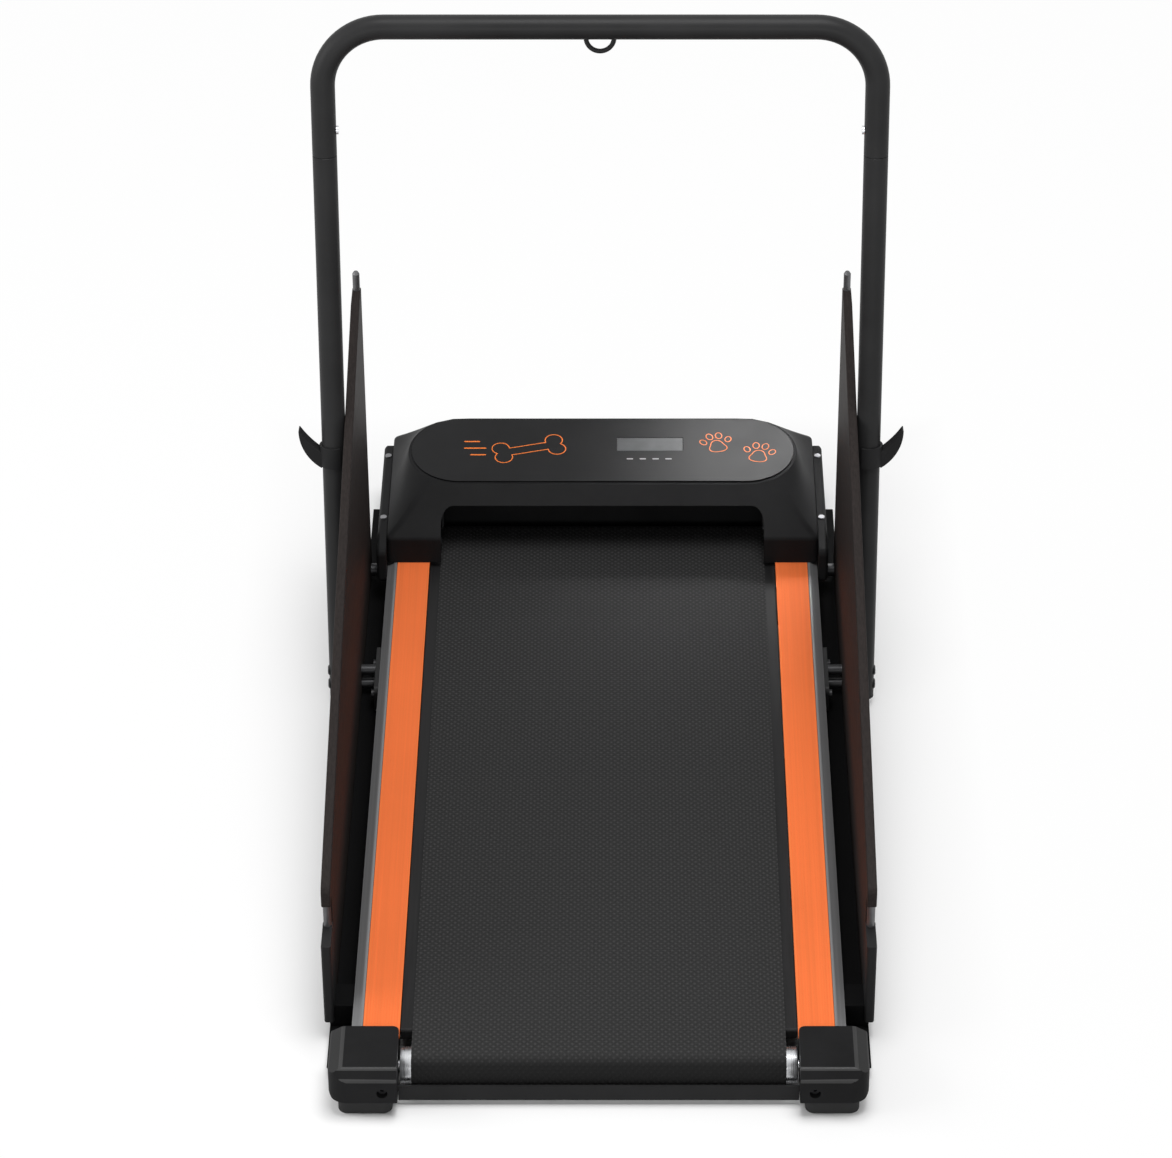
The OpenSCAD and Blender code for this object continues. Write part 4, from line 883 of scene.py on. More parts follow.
class TREADMILL_OT_side_guards(Piece, bpy.types.Operator):
    """Cuts the sloping guards and eases their edges"""

    bl_idname = "treadmill.side_guards"
    bl_label = "Side guards"

    def outline(self):
        """Outline in Y and Z, from the front's foot round over the top."""
        s = self.sizes
        low, high, r = GUARD_LOW, GUARD_HIGH, s.guard_corner_r
        flat_y, notch_y = high.y - s.guard_flat, low.y + s.guard_knuckle
        slope = math.atan2(high.z - s.guard_rear_z, flat_y - low.y)
        centre = (low.y + r, s.guard_rear_z + r * math.tan(slope) - r / math.cos(slope))
        return [
            (high.y, low.z), (high.y, high.z), (flat_y, high.z),
            *arc(centre, r, math.pi / 2 + slope, math.pi, 8),
            (low.y, s.guard_knuckle_z), (notch_y, s.guard_knuckle_z), (notch_y, low.z),
        ]

    def execute(self, context):
        guard = outline_solid(
            "guard_board_right", self.outline(), "X", GUARD_LOW.x, GUARD_HIGH.x
        )
        soften(guard, 0.0016, 3, 40)
        hand_over_pair(guard, "guard_board", "board", "guard_right")
        sleeve_z, arm_z, arm_top, arm_inset = 0.022, 0.015, 0.043, 0.004
        x = (GUARD_LOW.x + GUARD_HIGH.x) / 2
        y, w = (SOCKET_LOW.y + SOCKET_HIGH.y) / 2, SOCKET_HIGH.y - SOCKET_LOW.y
        sleeve_w = 2 * (SOCKET_HIGH.x - x)
        outline = placed(round_rect(sleeve_w, w, sleeve_w / 4, 5), x, y)
        sleeve = outline_solid("guard_sleeve_right", outline, "Z", sleeve_z, SOCKET_HIGH.z)
        soften(sleeve, 0.001, 2, 50)
        arm = block(
            "guard_arm_right", (HOOD_HIGH.x, SOCKET_LOW.y + arm_inset, arm_z),
            (x, SOCKET_HIGH.y - arm_inset, arm_top),
        )
        soften(arm, 0.0015, 2)
        hand_over_pair(sleeve, "black_plastic", "plain", "guard_sockets")
        # The arms take the near-black of the painted shade between rail and guard.
        hand_over_pair(arm, "black_plastic", "rail_shade_black")
        dress("rod", "guard_rods")
        dress("bolt", "guard_standoffs", "side_bolts", "post_bolts")
        dress("frame", "post_brackets")
        return {"FINISHED"}


class TREADMILL_OT_running_belt(Piece, bpy.types.Operator):
    """Wraps the belt round its rollers, with a map of its length for the weave"""

    bl_idname = "treadmill.running_belt"
    bl_label = "Running belt"

    def execute(self, context):
        low, high = BELT_LOW, BELT_HIGH
        r = (high.z - low.z) / 2
        middle = (high + low) / 2
        strips, turn_steps = 4, 24
        obj = fresh("belt_cover", bpy.ops.mesh.primitive_plane_add, size=1)
        edit(obj)
        bpy.ops.transform.resize(value=(high.y - low.y, 2 * r, 1), center_override=(0, 0, 0))
        bpy.ops.mesh.bevel(offset=r * 0.99999, segments=turn_steps, affect="VERTICES")
        bpy.ops.mesh.select_all(action="SELECT")
        bpy.ops.mesh.delete(type="ONLY_FACE")
        bpy.ops.mesh.select_all(action="SELECT")
        bpy.ops.mesh.remove_doubles(threshold=2e-6)
        done()
        for vertex in obj.data.vertices:
            vertex.co = (low.x, vertex.co.x + middle.y, vertex.co.y + middle.z)
        edit(obj)
        for _ in range(strips):
            pull(((high.x - low.x) / strips, 0, 0))
        done()
        face_out(obj)
        self.map_length(obj, r, low, high, middle)
        finish_modifier(obj, "SOLIDIFY", thickness=self.sizes.belt_t, offset=-1)
        smooth(obj)
        hand_over(obj, "belt_black", "belt", "running_belt")
        dress("deck", "deck_board")
        dress("rubber", "deck_cushions")
        dress("steel", "cross_members", "base_pan")
        return {"FINISHED"}

    def map_length(self, obj, r, low, high, middle):
        """Lays X and the length round the loop out as the belt's map, in metres."""
        run = high.y - low.y - 2 * r
        bend = math.pi * r
        whole = 2 * (run + bend)
        def way(point):
            y, z = point.y - (low.y + r), point.z - middle.z
            if y < 0:
                return 2 * run + bend + r * (math.pi - math.atan2(-y, z))
            if y > run:
                return run + r * math.atan2(y - run, z)
            return y if z > 0 else 2 * run + bend - y
        while obj.data.uv_layers:
            obj.data.uv_layers.remove(obj.data.uv_layers[0])
        uv = obj.data.uv_layers.new(name="belt_map")
        for polygon in obj.data.polygons:
            ways = [way(obj.data.vertices[i].co) for i in polygon.vertices]
            top = max(ways)
            for loop, index, w in zip(polygon.loop_indices, polygon.vertices, ways):
                if top - w > whole / 2:
                    w += whole
                uv.data[loop].uv = (obj.data.vertices[index].co.x, w)


class TREADMILL_OT_side_rails(Piece, bpy.types.Operator):
    """Draws the side rails with their seat and sloping shoulder"""

    bl_idname = "treadmill.side_rails"
    bl_label = "Side rails"

    def execute(self, context):
        s = self.sizes
        low, high = RAIL_LOW, RAIL_HIGH
        gap = 0.0003
        side, seat_z, lip = HOOD_HIGH.x, FOOT_RAIL_LOW.z, FOOT_RAIL_HIGH.x + gap
        shoulder, ledge = high.z - s.shoulder, low.z + s.ledge_t
        outline = [
            (low.x, low.z), (high.x, low.z), (high.x, ledge), (side, ledge), (side, shoulder),
            (lip + s.rail_lip, high.z), (lip, high.z), (lip, seat_z), (low.x, seat_z),
        ]
        rail = outline_solid("rail_profile_right", outline, "Y", low.y, high.y)
        soften(rail, 0.0007, 2, 20)
        for obj in hand_over_pair(rail, "rail_black", "rail_shade_black", "side_rail_right"):
            refinish(obj, "rail", lambda m: m.z > shoulder - gap and abs(m.x) > lip)
        dress("orange", "foot_rail_left", "foot_rail_right")
        return {"FINISHED"}


class TREADMILL_OT_rear_caps(Piece, bpy.types.Operator):
    """Shapes the rear caps and their feet"""

    bl_idname = "treadmill.rear_caps"
    bl_label = "Rear caps"

    def round_corner(self, cap, x, y, radius, segments):
        """Rounds the upright edge at a corner of the block."""
        middle = Vector((x, y, (CAP_LOW.z + CAP_HIGH.z) / 2))
        pick(cap, "EDGE", lambda m: (m - middle).length < 2 * SAME)
        bpy.ops.mesh.bevel(offset=radius, segments=segments)
        done()

    def ease(self, cap, edge, slope, other, radius, flats=4):
        """Rounds the edge between two slopes by slicing flats along an arc."""
        middle = Vector(edge) - radius * (slope + other) / (1 + slope.dot(other))
        for i in range(flats):
            lean = slope.slerp(other, (i + 1) / (flats + 1))
            slice_off(cap, middle + radius * lean, lean)

    def slopes(self, cap):
        """Slices the bevels off the rear and outer edges and rounds what they leave."""
        s = self.sizes
        low, high = CAP_LOW, CAP_HIGH
        rear_edge = (0, low.y + s.cap_bevel_l, high.z)
        rear_fold = (0, low.y, high.z - s.cap_bevel_h)
        side_fold = (high.x - s.cap_side_w, 0, high.z)
        side_edge = (high.x, 0, high.z - s.cap_side_h)
        up, back, out = Vector((0, 0, 1)), Vector((0, -1, 0)), Vector((1, 0, 0))
        rear = Vector((0, -s.cap_bevel_h, s.cap_bevel_l)).normalized()
        side = Vector((s.cap_side_h, 0, s.cap_side_w)).normalized()
        slice_off(cap, rear_fold, rear)
        slice_off(cap, side_edge, side)
        self.ease(cap, rear_edge, up, rear, s.cap_edge_r)
        self.ease(cap, rear_fold, rear, back, s.cap_fold_r)
        self.ease(cap, side_fold, up, side, s.cap_fold_r)
        self.ease(cap, side_edge, side, out, s.cap_edge_r)

    def bolt_hole(self, cap):
        """Bores the way of the tension bolt, with a wider mouth at the rear."""
        x, z = 0.23, (ROLLER_LOW.z + ROLLER_HIGH.z) / 2
        over, mouth, mouth_r, bore_r = 0.004, 0.012, 0.006, 0.0034
        through = CAP_HIGH.y - CAP_LOW.y + over
        for name, end, r, sides in (("mouth", mouth, mouth_r, 40), ("bore", through, bore_r, 24)):
            tool = turned(f"cap_{name}", [(-over, r), (end, r)], sides)
            turn = Matrix.Rotation(math.pi / 2, 4, "Z")
            seat(tool, Matrix.Translation((x, CAP_LOW.y, z)) @ turn)
            cut(cap, tool)

    def foot(self):
        w, corner = 0.058, 0.01
        outline = placed(
            round_rect(w, FEET_HIGH.y - FEET_LOW.y, corner, 6),
            FEET_HIGH.x - w / 2, (FEET_LOW.y + FEET_HIGH.y) / 2,
        )
        foot = outline_solid("rear_foot_right", outline, "Z", FEET_LOW.z, FEET_HIGH.z)
        soften(foot, 0.0025, 3, 40)
        hand_over_pair(foot, "rubber_black", "rubber", "rear_feet")

    def execute(self, context):
        s = self.sizes
        low, high = CAP_LOW, CAP_HIGH
        inner_r, lower_bevel = 0.007, 0.004
        cap = block("cap_cover_right", low, high)
        self.round_corner(cap, high.x, low.y, s.cap_corner_r, 8)
        self.round_corner(cap, low.x, high.y, inner_r, 5)
        self.slopes(cap)
        slice_off(cap, (high.x - lower_bevel, 0, low.z), (1, 0, -1))
        soften(cap, 0.0015, 3, 24)
        self.bolt_hole(cap)
        smooth_flats(cap)
        rear_y, fold = low.y + s.cap_bevel_l, high.z - s.cap_bevel_h
        flat = 0.00005
        # The outer bevel and the rounds take lighter copies of the moulding as painted highlights.
        def on_painted_highlight_side(m):
            beyond = abs(m.x) > high.x - s.cap_side_w and m.z > high.z - s.cap_side_h
            return beyond and m.y > rear_y
        # The rounds along the top edges and the rear fold: painted highlight lines.
        def on_painted_highlight_edge(m):
            on_fold = abs(m.z - fold) < s.cap_fold_r / 4 and m.y < low.y + s.cap_bevel_l / 2
            return on_fold or flat < high.z - m.z < s.cap_edge_r / 2
        for obj in hand_over_pair(cap, "cap_plastic", "cap", "rear_cap_right"):
            refinish(obj, "cap_side", on_painted_highlight_side)
            refinish(obj, "cap_edge", on_painted_highlight_edge)
        self.foot()
        dress("rubber", "front_feet")
        dress("plain", "rear_guard_strip")
        dress("zinc", "rear_axle", "front_axle", "rear_axle_brackets")
        dress("bolt", "tension_bolt_left", "tension_bolt_right")
        return {"FINISHED"}


class TREADMILL_OT_rollers(Piece, bpy.types.Operator):
    """Turns both rollers with eased ends"""

    bl_idname = "treadmill.rollers"
    bl_label = "Rollers"

    def execute(self, context):
        ease, wall, depth, sides = 0.0012, 0.003, 0.0048, 96
        for node, finish in (("rear_roller", "chrome"), ("front_roller", "steel")):
            low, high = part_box(node)
            r = (high.z - low.z) / 2
            inner = r - wall
            at = (0, (low.y + high.y) / 2, (low.z + high.z) / 2)
            end = [
                (depth, inner), (ease / 3, inner), (0, inner + ease / 3),
                (0, r - ease), (ease * 0.3, r - ease * 0.3), (ease, r),
            ]
            profile = [(low.x + x, radius) for x, radius in end]
            profile += [(high.x - x, radius) for x, radius in reversed(end)]
            obj = turned(f"{node}_tube", profile, sides, at)
            ends = (low.x + depth, high.x - depth)
            pick(obj, "FACE", lambda m: min(abs(m.x - x) for x in ends) < SAME)
            bpy.ops.mesh.delete(type="FACE")
            done()
            smooth(obj)
            hand_over(obj, "chrome_roller", finish, node, body=node)
        dress("zinc", "rear_bearings", "front_bearings", "motor_shaft")
        dress("pulley", "driven_pulley", "motor_pulley")
        return {"FINISHED"}


class TREADMILL_OT_motor_hood(Piece, bpy.types.Operator):
    """Lofts the hood from its foot to the panel's rim and cuts the belt mouth"""

    bl_idname = "treadmill.motor_hood"
    bl_label = "Motor hood"

    near_steps, corner_steps, side_steps = 10, 6, 20
    edge = 0.0008

    def whole(self, half):
        """Both halves of a loop, from its right half."""
        return half + [(-x, y, z) for x, y, z in reversed(half[1:-1])]

    def wall_loop(self, near_z, far_z, inset=0.0):
        """A loop round the hood's upright wall, from the near middle and back."""
        r = self.sizes.hood_corner_r - inset
        w, y0, y1 = HOOD_HIGH.x - inset, HOOD_LOW.y + inset, HOOD_HIGH.y - inset
        quarter = math.pi / 2
        n, c, d = self.near_steps, self.corner_steps, self.side_steps
        half = [((w - r) * i / n, y0) for i in range(n)]
        half += arc((w - r, y0 + r), r, -quarter, 0, c)[:-1]
        half += [(w, y0 + r + (y1 - y0 - 2 * r) * i / d) for i in range(d)]
        half += arc((w - r, y1 - r), r, 0, quarter, c)[:-1]
        half += [((w - r) * (1 - i / n), y1) for i in range(n + 1)]
        rise = (far_z - near_z) / (y1 - y0)
        half = [(x, y, near_z + rise * (y - y0)) for x, y in half]
        return [Vector(p) for p in self.whole(half)]

    def panel_loop(self, grow, rise=0.0):
        """The panel's rim: half-round ends, with points spaced to meet the wall's corners."""
        s = self.sizes
        r = s.panel_d / 2 + grow
        straight = s.panel_w / 2 - s.panel_d / 2
        turn_in, turn_out = math.radians(62), math.radians(50)
        first = straight + r * (math.pi / 2 - turn_in)
        n, c, d = self.near_steps, self.corner_steps, self.side_steps
        def near(t):
            way = first * t
            if way <= straight:
                return (way, -r)
            a = -math.pi / 2 + (way - straight) / r
            return (straight + r * math.cos(a), r * math.sin(a))
        end = (straight, 0)
        half = [near(i / n) for i in range(n)]
        half += arc(end, r, -turn_in, -turn_out, c)[:-1]
        half += arc(end, r, -turn_out, turn_out, d)[:-1]
        half += arc(end, r, turn_out, turn_in, c)[:-1]
        half += [(x, -y) for x, y in (near(1 - i / n) for i in range(n + 1))]
        place = panel_frame(s)
        return [place @ Vector(p) for p in self.whole([(x, y, rise) for x, y in half])]

    def slope(self, wall, rim):
        """Loops between the wall and the panel's rim, drawn in a little at the sides."""
        deep, from_x, steps = 0.05, 0.2, (0.2, 0.4, 0.6, 0.8)
        loops = [[a.lerp(b, t) for a, b in zip(wall, rim)] for t in steps]
        for t, loop in zip(steps, loops):
            for p in loop:
                hollow = deep * math.sin(math.pi * t) * max(0, abs(p.x) - from_x)
                p.x -= math.copysign(hollow, p.x)
        return loops

    def turn_over(self, before, edge, after, reach):
        """Loops that carry the skin round an edge between two others."""
        def bent(a, e, b, t):
            first = e + (a - e).normalized() * reach
            last = e + (b - e).normalized() * reach
            return first * (1 - t) ** 2 + e * 2 * t * (1 - t) + last * t ** 2
        lines = list(zip(before, edge, after))
        return [[bent(*points, t) for points in lines] for t in (0, 0.25, 0.5, 0.75, 1)]

    def shell(self):
        """The hood's skin, inside and outside, with its rim closed."""
        s = self.sizes
        t, foot_z = s.hood_wall, s.hood_floor
        drop, face_play = 0.7 * t, 0.0005
        inner_rim = self.panel_loop(s.panel_rim - t, -t)
        inner_wall = self.wall_loop(s.hood_near_z - drop, s.hood_far_z - drop, t)
        foot = self.wall_loop(foot_z, foot_z)
        wall = self.wall_loop(s.hood_near_z, s.hood_far_z)
        rim = self.panel_loop(s.panel_rim)
        face = self.panel_loop(face_play)
        slope = self.slope(wall, rim)
        hood = loft("hood_shell", [
            inner_rim, *reversed(self.slope(inner_wall, inner_rim)), inner_wall,
            self.wall_loop(foot_z, foot_z, t), foot,
            *self.turn_over(foot, wall, slope[0], s.hood_edge_r), *slope,
            *self.turn_over(slope[-1], rim, face, s.rim_edge_r), face,
        ])
        bpy.ops.mesh.edge_face_add()
        pick(hood, "VERT", lambda m: min((m - p).length for p in inner_rim) < SAME)
        bpy.ops.mesh.edge_face_add()
        done()
        face_out(hood)
        return hood

    def inner_wall(self):
        """The wall behind the mouth, between the front roller and the motor."""
        gap, thick, top = 0.006, 0.0025, 0.139
        y = BELT_HIGH.y + gap
        low, high = (BELT_LOW.x, y, HOOD_LOW.z), (BELT_HIGH.x, y + thick, top)
        wall = block("hood_inner_wall", low, high)
        soften(wall, self.edge, 2)
        hand_over(wall, "hood_plastic", "hood")

    def skirt(self):
        """The front skirt, cut out for the inlet and the switch."""
        back_y, front_y, low_z, gap = 0.5875, 0.5905, 0.016, 0.0001
        top = self.sizes.hood_floor - gap
        skirt = block("hood_skirt", (-CAP_LOW.x, back_y, low_z), (CAP_LOW.x, front_y, top))
        soften(skirt, self.edge, 2)
        rim, through = Vector((0.0013, 0, 0.0013)), Vector((0, 0.01, 0))
        for node in ("power_inlet", "switch_housing"):
            low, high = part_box(node)
            cut(skirt, block("skirt_hole", low + rim - through, high - rim + through))
        smooth_flats(skirt)
        hand_over(skirt, "hood_plastic", "hood", "front_skirt")

    def execute(self, context):
        s = self.sizes
        before = 0.01
        hood = self.shell()
        tall = 2 * (s.mouth_z - s.hood_floor)
        outline = placed(round_rect(2 * s.mouth_half, tall, s.mouth_r, 8), 0, s.hood_floor)
        mouth = outline_solid(
            "hood_mouth", outline, "Y", HOOD_LOW.y - before, HOOD_LOW.y + s.mouth_l
        )
        cut(hood, mouth)
        soften(hood, self.edge, 2, 55)
        hand_over(hood, "hood_plastic", "hood", "motor_hood")
        self.inner_wall()
        self.skirt()
        dress("plain", "power_inlet", "switch_housing")
        dress("red", "switch_rocker")
        dress("motor", "motor")
        dress("steel", "motor_mount")
        dress("ribbed", "drive_belt")
        dress("circuit", "motor_controller")
        return {"FINISHED"}


class TREADMILL_OT_control_panel(Piece, bpy.types.Operator):
    """Lays the overlay on the hood and prints its plain motifs"""

    bl_idname = "treadmill.control_panel"
    bl_label = "Control panel"

    lift, ink_t = 0.00002, 0.00012

    def line(self, name, points, width):
        """A printed line that follows a closed outline on the overlay."""
        top = self.sizes.panel_t + self.lift
        obj = ring_through(name, [(x, y, top) for x, y in points], "NGON")
        bpy.ops.mesh.normals_make_consistent(inside=False)
        bpy.ops.mesh.inset(thickness=width, use_even_offset=True)
        bpy.ops.mesh.delete(type="FACE")
        bpy.ops.mesh.select_all(action="SELECT")
        pull((0, 0, self.ink_t))
        done()
        face_out(obj)
        return obj

    def dash(self, name, w, h, r, steps, x, y):
        """A printed bar with rounded corners."""
        top = self.sizes.panel_t + self.lift
        outline = placed(round_rect(w, h, r, steps), x, y)
        return outline_solid(name, outline, "Z", top, top + self.ink_t)

    def join(self, pieces, name, finish):
        clear_selection()
        for obj in pieces:
            obj.select_set(True)
        bpy.context.view_layer.objects.active = pieces[0]
        bpy.ops.object.join()
        whole = bpy.context.active_object
        whole.name = whole.data.name = name
        seat(whole, panel_frame(self.sizes))
        hand_over(whole, "overlay_gloss", finish)

    def paw(self, x, y, turn):
        """A plain paw print: a pad and four toes in line."""
        size, width, pad_steps, toe_steps = 0.0255, 0.0011, 40, 24
        pad = []
        for i in range(pad_steps):
            t = 2 * math.pi * i / pad_steps
            r = 0.42 + 0.05 * math.cos(3 * t + math.pi / 2) - 0.04 * math.cos(2 * t)
            pad.append((r * 1.12 * math.cos(t), r * math.sin(t) - 0.3))
        outlines = [pad]
        outer, inner = (0.62, 0.16, 0.17, 0.23, -24), (0.23, 0.52, 0.18, 0.25, -8)
        for side, (u, v, ru, rv, lean) in ((-1, outer), (-1, inner), (1, inner), (1, outer)):
            turns = [2 * math.pi * i / toe_steps for i in range(toe_steps)]
            oval = [(ru * math.cos(t), rv * math.sin(t)) for t in turns]
            outlines.append(placed(oval, side * u, v, side * lean))
        return [self.line("paw_line", placed(o, x, y, turn, size), width) for o in outlines]

    def bone(self, x, y, turn):
        """Outline of a plain bone: a bar between two pairs of lobes."""
        half, lobe, apart, bar, steps = 0.034, 0.0115, 0.0088, 0.0075, 14
        start = math.pi - math.asin((bar - apart) / lobe)
        notch = -math.acos(math.sqrt(lobe * lobe - apart * apart) / lobe)
        quarter = arc((half, apart), lobe, start, notch, steps)
        right = quarter + [(u, -v) for u, v in reversed(quarter[:-1])]
        return placed(right + [(-u, -v) for u, v in right], x, y, turn)

    def execute(self, context):
        s = self.sizes
        outline = round_rect(s.panel_w, s.panel_d, s.panel_d / 2 - 1e-5, 24)
        overlay = outline_solid("overlay_film", outline, "Z", 0, s.panel_t)
        half = Vector((s.display_w / 2, s.display_d / 2, 0))
        middle = Vector((s.display_x, s.display_y, 0))
        low, high = middle - half, middle + half
        through, gap, sunk = Vector((0, 0, 0.01)), Vector((0.0003, 0.0003, 0)), 0.0002
        cut(overlay, block("display_hole", low - through, high + through))
        soften(overlay, 0.0005, 2, 40)
        glass_t = Vector((0, 0, s.panel_t - sunk))
        window = block("display_glass", low + gap, high - gap + glass_t)
        soften(window, 0.0004, 2, 40)
        for obj in (overlay, window):
            seat(obj, panel_frame(s))
        hand_over(overlay, "overlay_gloss", "overlay", "overlay_panel")
        hand_over(window, "display_gloss", "display", "display_window")
        prints = self.paw(0.142, 0.0135, 12) + self.paw(0.195, -0.006, -10)
        prints.append(self.line("bone_line", self.bone(-0.092, 0.002, 14), s.print_w))
        bar, mark_w, mark_y = 0.0022, 0.008, -0.018
        for w, x, y in ((0.02, -0.163, 0.016), (0.028, -0.159, 0.003), (0.02, -0.155, -0.01)):
            prints.append(self.dash("dash", w, bar, 0.00109, 4, x, y))
        self.join(prints, "panel_print", "ink")
        places = (0.034, 0.05, 0.066, 0.082)
        marks = [self.dash("mark", mark_w, bar, 0.0008, 3, x, mark_y) for x in places]
        self.join(marks, "panel_marks", "mark")
        return {"FINISHED"}


class TREADMILL_OT_hood_trims(Piece, bpy.types.Operator):
    """Shapes the trims that cover the seam beside the hood"""

    bl_idname = "treadmill.hood_trims"
    bl_label = "Hood trims"

    def execute(self, context):
        low, high = TRIM_LOW, TRIM_HIGH
        middle, size = (low + high) / 2, high - low
        corner, ease = 0.008, 0.003
        outline = placed(round_rect(size.y, size.z, corner, 6), middle.y, middle.z)
        trim = outline_solid("trim_cover_right", outline, "X", low.x, high.x - ease)
        pick(trim, "FACE", lambda m: m.x > high.x - ease - SAME)
        pull((ease, 0, 0))
        narrow = (1, 1 - 2 * ease / size.y, 1 - 2 * ease / size.z)
        bpy.ops.transform.resize(value=narrow, center_override=middle)
        done()
        soften(trim, 0.0012)
        hand_over_pair(trim, "hood_plastic", "hood", "hood_trim_right")
        dress("dull", "trim_screws")
        return {"FINISHED"}


class TREADMILL_OT_wheels(Piece, bpy.types.Operator):
    """Turns the transport wheels with their tread and hub"""

    bl_idname = "treadmill.wheels"
    bl_label = "Transport wheels"

    def execute(self, context):
        middle, size = (WHEEL_LOW + WHEEL_HIGH) / 2, WHEEL_HIGH - WHEEL_LOW
        r, w = size.z / 2, size.x / 2
        bore, hub, dish, tread, sides = 0.00405, 0.0075, 0.002, 0.0015, 64
        near_axis = 1e-4
        side = [
            (w, bore), (w, hub), (w - dish, hub + 0.001), (w - dish, r - 0.005), (w, r - 0.004),
            (w, r - tread), (w - tread, r), (0.004, r), (0.003, r - 0.0012),
        ]
        profile = [(-x, radius) for x, radius in side] + list(reversed(side))
        for name, sign in (("right", 1), ("left", -1)):
            at = (sign * middle.x, middle.y, middle.z)
            obj = turned(f"wheel_tyre_{name}", profile + [profile[0]], sides, at)
            pick(obj, "FACE", lambda m: math.hypot(m.y - middle.y, m.z - middle.z) < near_axis)
            bpy.ops.mesh.delete(type="FACE")
            done()
            face_out(obj)
            smooth(obj)
            node = f"wheel_{name}"
            hand_over(obj, "rubber_black", "tyre", node, body=node)
        dress("steel", "wheel_forks")
        return {"FINISHED"}


class TREADMILL_OT_stage(Piece, bpy.types.Operator):
    """Sets the floor, the light and the camera"""

    bl_idname = "treadmill.stage"
    bl_label = "Studio stage"

    lamps = (  # name, place, aim, width and height, power, spread in degrees
        ("overhead_softbox", (0.3, -0.3, 4.2), (0, 0, 0.1), (2.0, 2.0), 130, 180),
        ("front_softbox", (0.0, -4.4, 1.5), (0, -0.2, 0.1), (3.0, 1.0), 42, 180),
        ("left_softbox", (-2.9, -0.5, 1.5), (0, 0, 0.15), (2.2, 1.2), 38, 180),
        ("panel_softbox", (0.28, 0.93, 0.59), (0.15, 0.49, 0.145), (0.28, 0.24), 0.2, 26),
    )

    def floor(self, stage):
        plane = bpy.ops.mesh.primitive_plane_add
        floor = fresh("studio_floor", plane, size=60, location=(0, 0, -0.0005))
        f = Finish("floor_paper", stage.floor, 0.0)
        f.set("Roughness", 0.9)
        white = f.node("ShaderNodeEmission", {"Color": (1, 1, 1, 1), "Strength": 1.0})
        x, y, _ = f.axes(f.place())
        beside = (abs(x) - WHEEL_HIGH.x).most(abs(y) + CAP_LOW.y).most(0.0)
        open_floor = f.node("ShaderNodeMapRange", {"Value": beside, "From Max": stage.contact})
        share = f.seen() * open_floor * stage.paper
        lit = Value(f, f.shader.outputs[0])
        mixed = f.node("ShaderNodeMixShader", {0: share, 1: lit, 2: white})
        f.feed(f.tree.nodes["Material Output"].inputs["Surface"], mixed)
        floor.data.materials.append(f.material)

    def world(self, scene, ambient):
        scene.world = bpy.data.worlds.new("studio")
        scene.world.use_nodes = True
        nodes = Nodes(scene.world.node_tree)
        light = nodes.tree.nodes["Background"].inputs
        nodes.feed(light["Color"], (1, 1, 1, 1))
        strength = nodes.node("ShaderNodeMapRange", {"Value": nodes.seen(), "To Min": ambient})
        nodes.feed(light["Strength"], strength)

    def lamp(self, name, at, aim, size, power, spread):
        lamp = fresh(name, bpy.ops.object.light_add, type="AREA", location=at)
        lamp.data.shape = "RECTANGLE"
        lamp.data.size, lamp.data.size_y = size
        lamp.data.energy = power
        lamp.data.spread = math.radians(spread)
        lamp.visible_camera = False
        lamp.rotation_euler = (Vector(aim) - Vector(at)).to_track_quat("-Z", "Y").to_euler()

    def camera(self, scene):
        at, tilt = (0.0285, -4.1133, 3.1457), math.radians(55.19)
        width, focal, axis_x = 1172, 4400, 625.5  # all in pixels of the picture
        camera = fresh("Camera", bpy.ops.object.camera_add, location=at, rotation=(tilt, 0, 0))
        camera.data.sensor_fit = "HORIZONTAL"
        camera.data.sensor_width = 36
        camera.data.lens = 36 * focal / width
        camera.data.shift_x = (width / 2 - axis_x) / width
        camera.data.clip_end = 200
        scene.camera = camera

    def execute(self, context):
        scene = context.scene
        scene.view_settings.view_transform = "Standard"
        self.floor(scene.treadmill_stage)
        self.world(scene, scene.treadmill_stage.ambient)
        for lamp in self.lamps:
            self.lamp(*lamp)
        self.camera(scene)
        return {"FINISHED"}


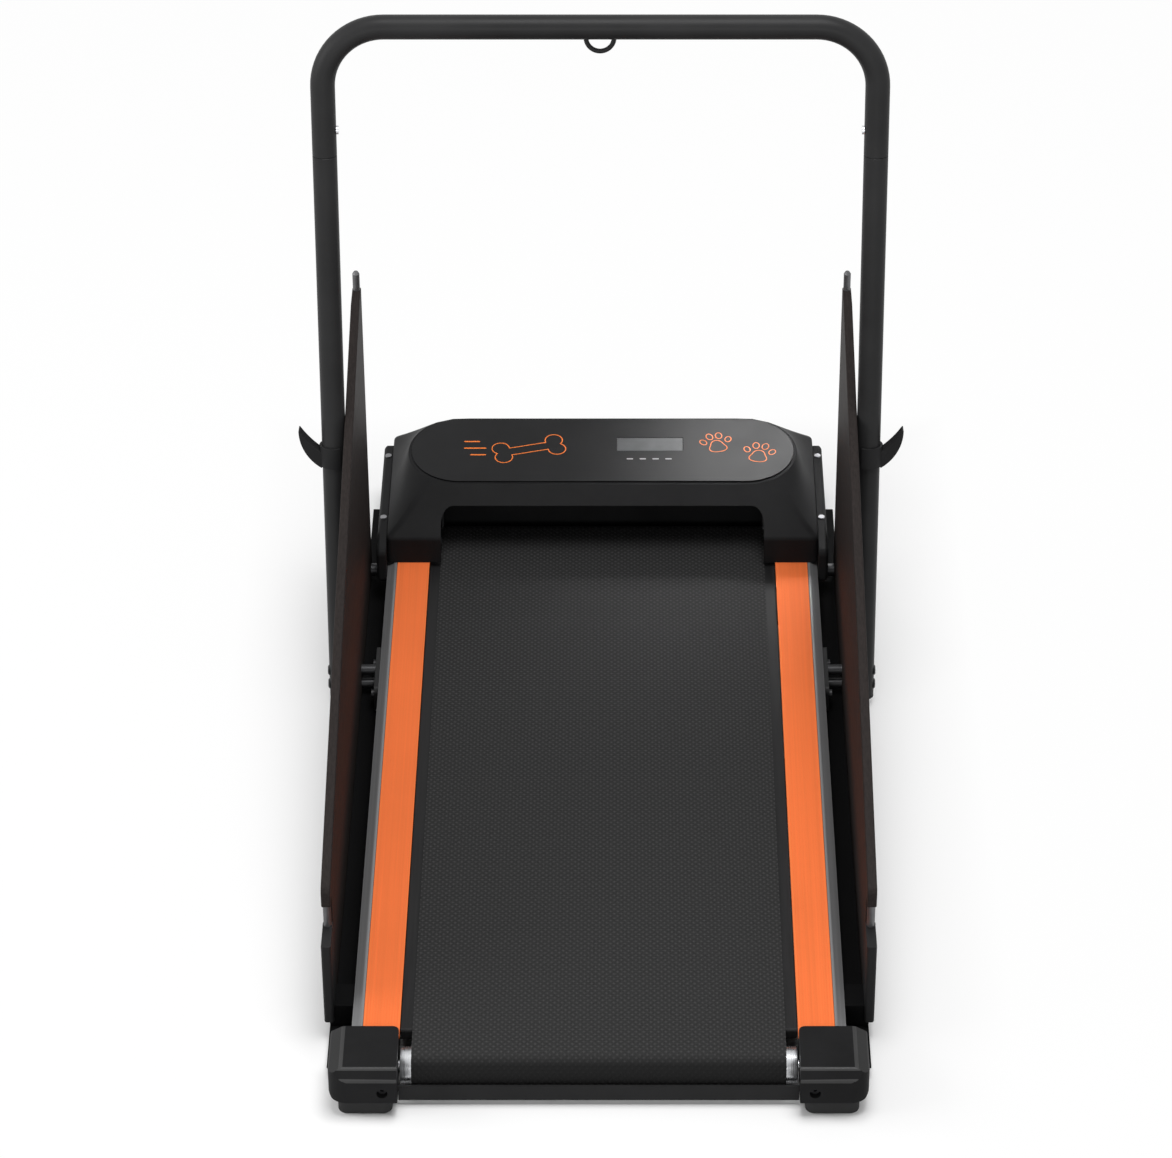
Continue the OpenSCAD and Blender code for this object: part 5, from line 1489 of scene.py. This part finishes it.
class TREADMILL_PT_sidebar(bpy.types.Panel):
    """Lists the treadmill's pieces"""

    bl_idname = "TREADMILL_PT_sidebar"
    bl_label = "Dog treadmill"
    bl_space_type = "VIEW_3D"
    bl_region_type = "UI"
    bl_category = "Treadmill"

    def draw(self, context):
        scene = context.scene
        for piece in PIECES:
            self.layout.operator(piece.bl_idname)
        for group in (scene.treadmill_sizes, scene.treadmill_colours, scene.treadmill_stage):
            box = self.layout.box()
            for name in group.__annotations__:
                box.prop(group, name)


PIECES = (
    TREADMILL_OT_frame_tubes,
    TREADMILL_OT_leash_ring,
    TREADMILL_OT_leash_hooks,
    TREADMILL_OT_side_guards,
    TREADMILL_OT_running_belt,
    TREADMILL_OT_side_rails,
    TREADMILL_OT_rear_caps,
    TREADMILL_OT_rollers,
    TREADMILL_OT_motor_hood,
    TREADMILL_OT_control_panel,
    TREADMILL_OT_hood_trims,
    TREADMILL_OT_wheels,
    TREADMILL_OT_stage,
)
CLASSES = (TreadmillSizes, TreadmillColours, TreadmillStage, *PIECES, TREADMILL_PT_sidebar)


def register():
    for cls in CLASSES:
        bpy.utils.register_class(cls)
    bpy.types.Scene.treadmill_sizes = PointerProperty(type=TreadmillSizes)
    bpy.types.Scene.treadmill_colours = PointerProperty(type=TreadmillColours)
    bpy.types.Scene.treadmill_stage = PointerProperty(type=TreadmillStage)


def unregister():
    del bpy.types.Scene.treadmill_stage
    del bpy.types.Scene.treadmill_colours
    del bpy.types.Scene.treadmill_sizes
    for cls in reversed(CLASSES):
        bpy.utils.unregister_class(cls)


def main():
    register()
    bpy.ops.treadmill.stage()
    bpy.ops.treadmill.frame_tubes()
    bpy.ops.treadmill.leash_ring()
    bpy.ops.treadmill.leash_hooks()
    bpy.ops.treadmill.side_guards()
    bpy.ops.treadmill.running_belt()
    bpy.ops.treadmill.side_rails()
    bpy.ops.treadmill.rear_caps()
    bpy.ops.treadmill.rollers()
    bpy.ops.treadmill.motor_hood()
    bpy.ops.treadmill.control_panel()
    bpy.ops.treadmill.hood_trims()
    bpy.ops.treadmill.wheels()
    clear_selection()


if __name__ == "__main__":
    main()
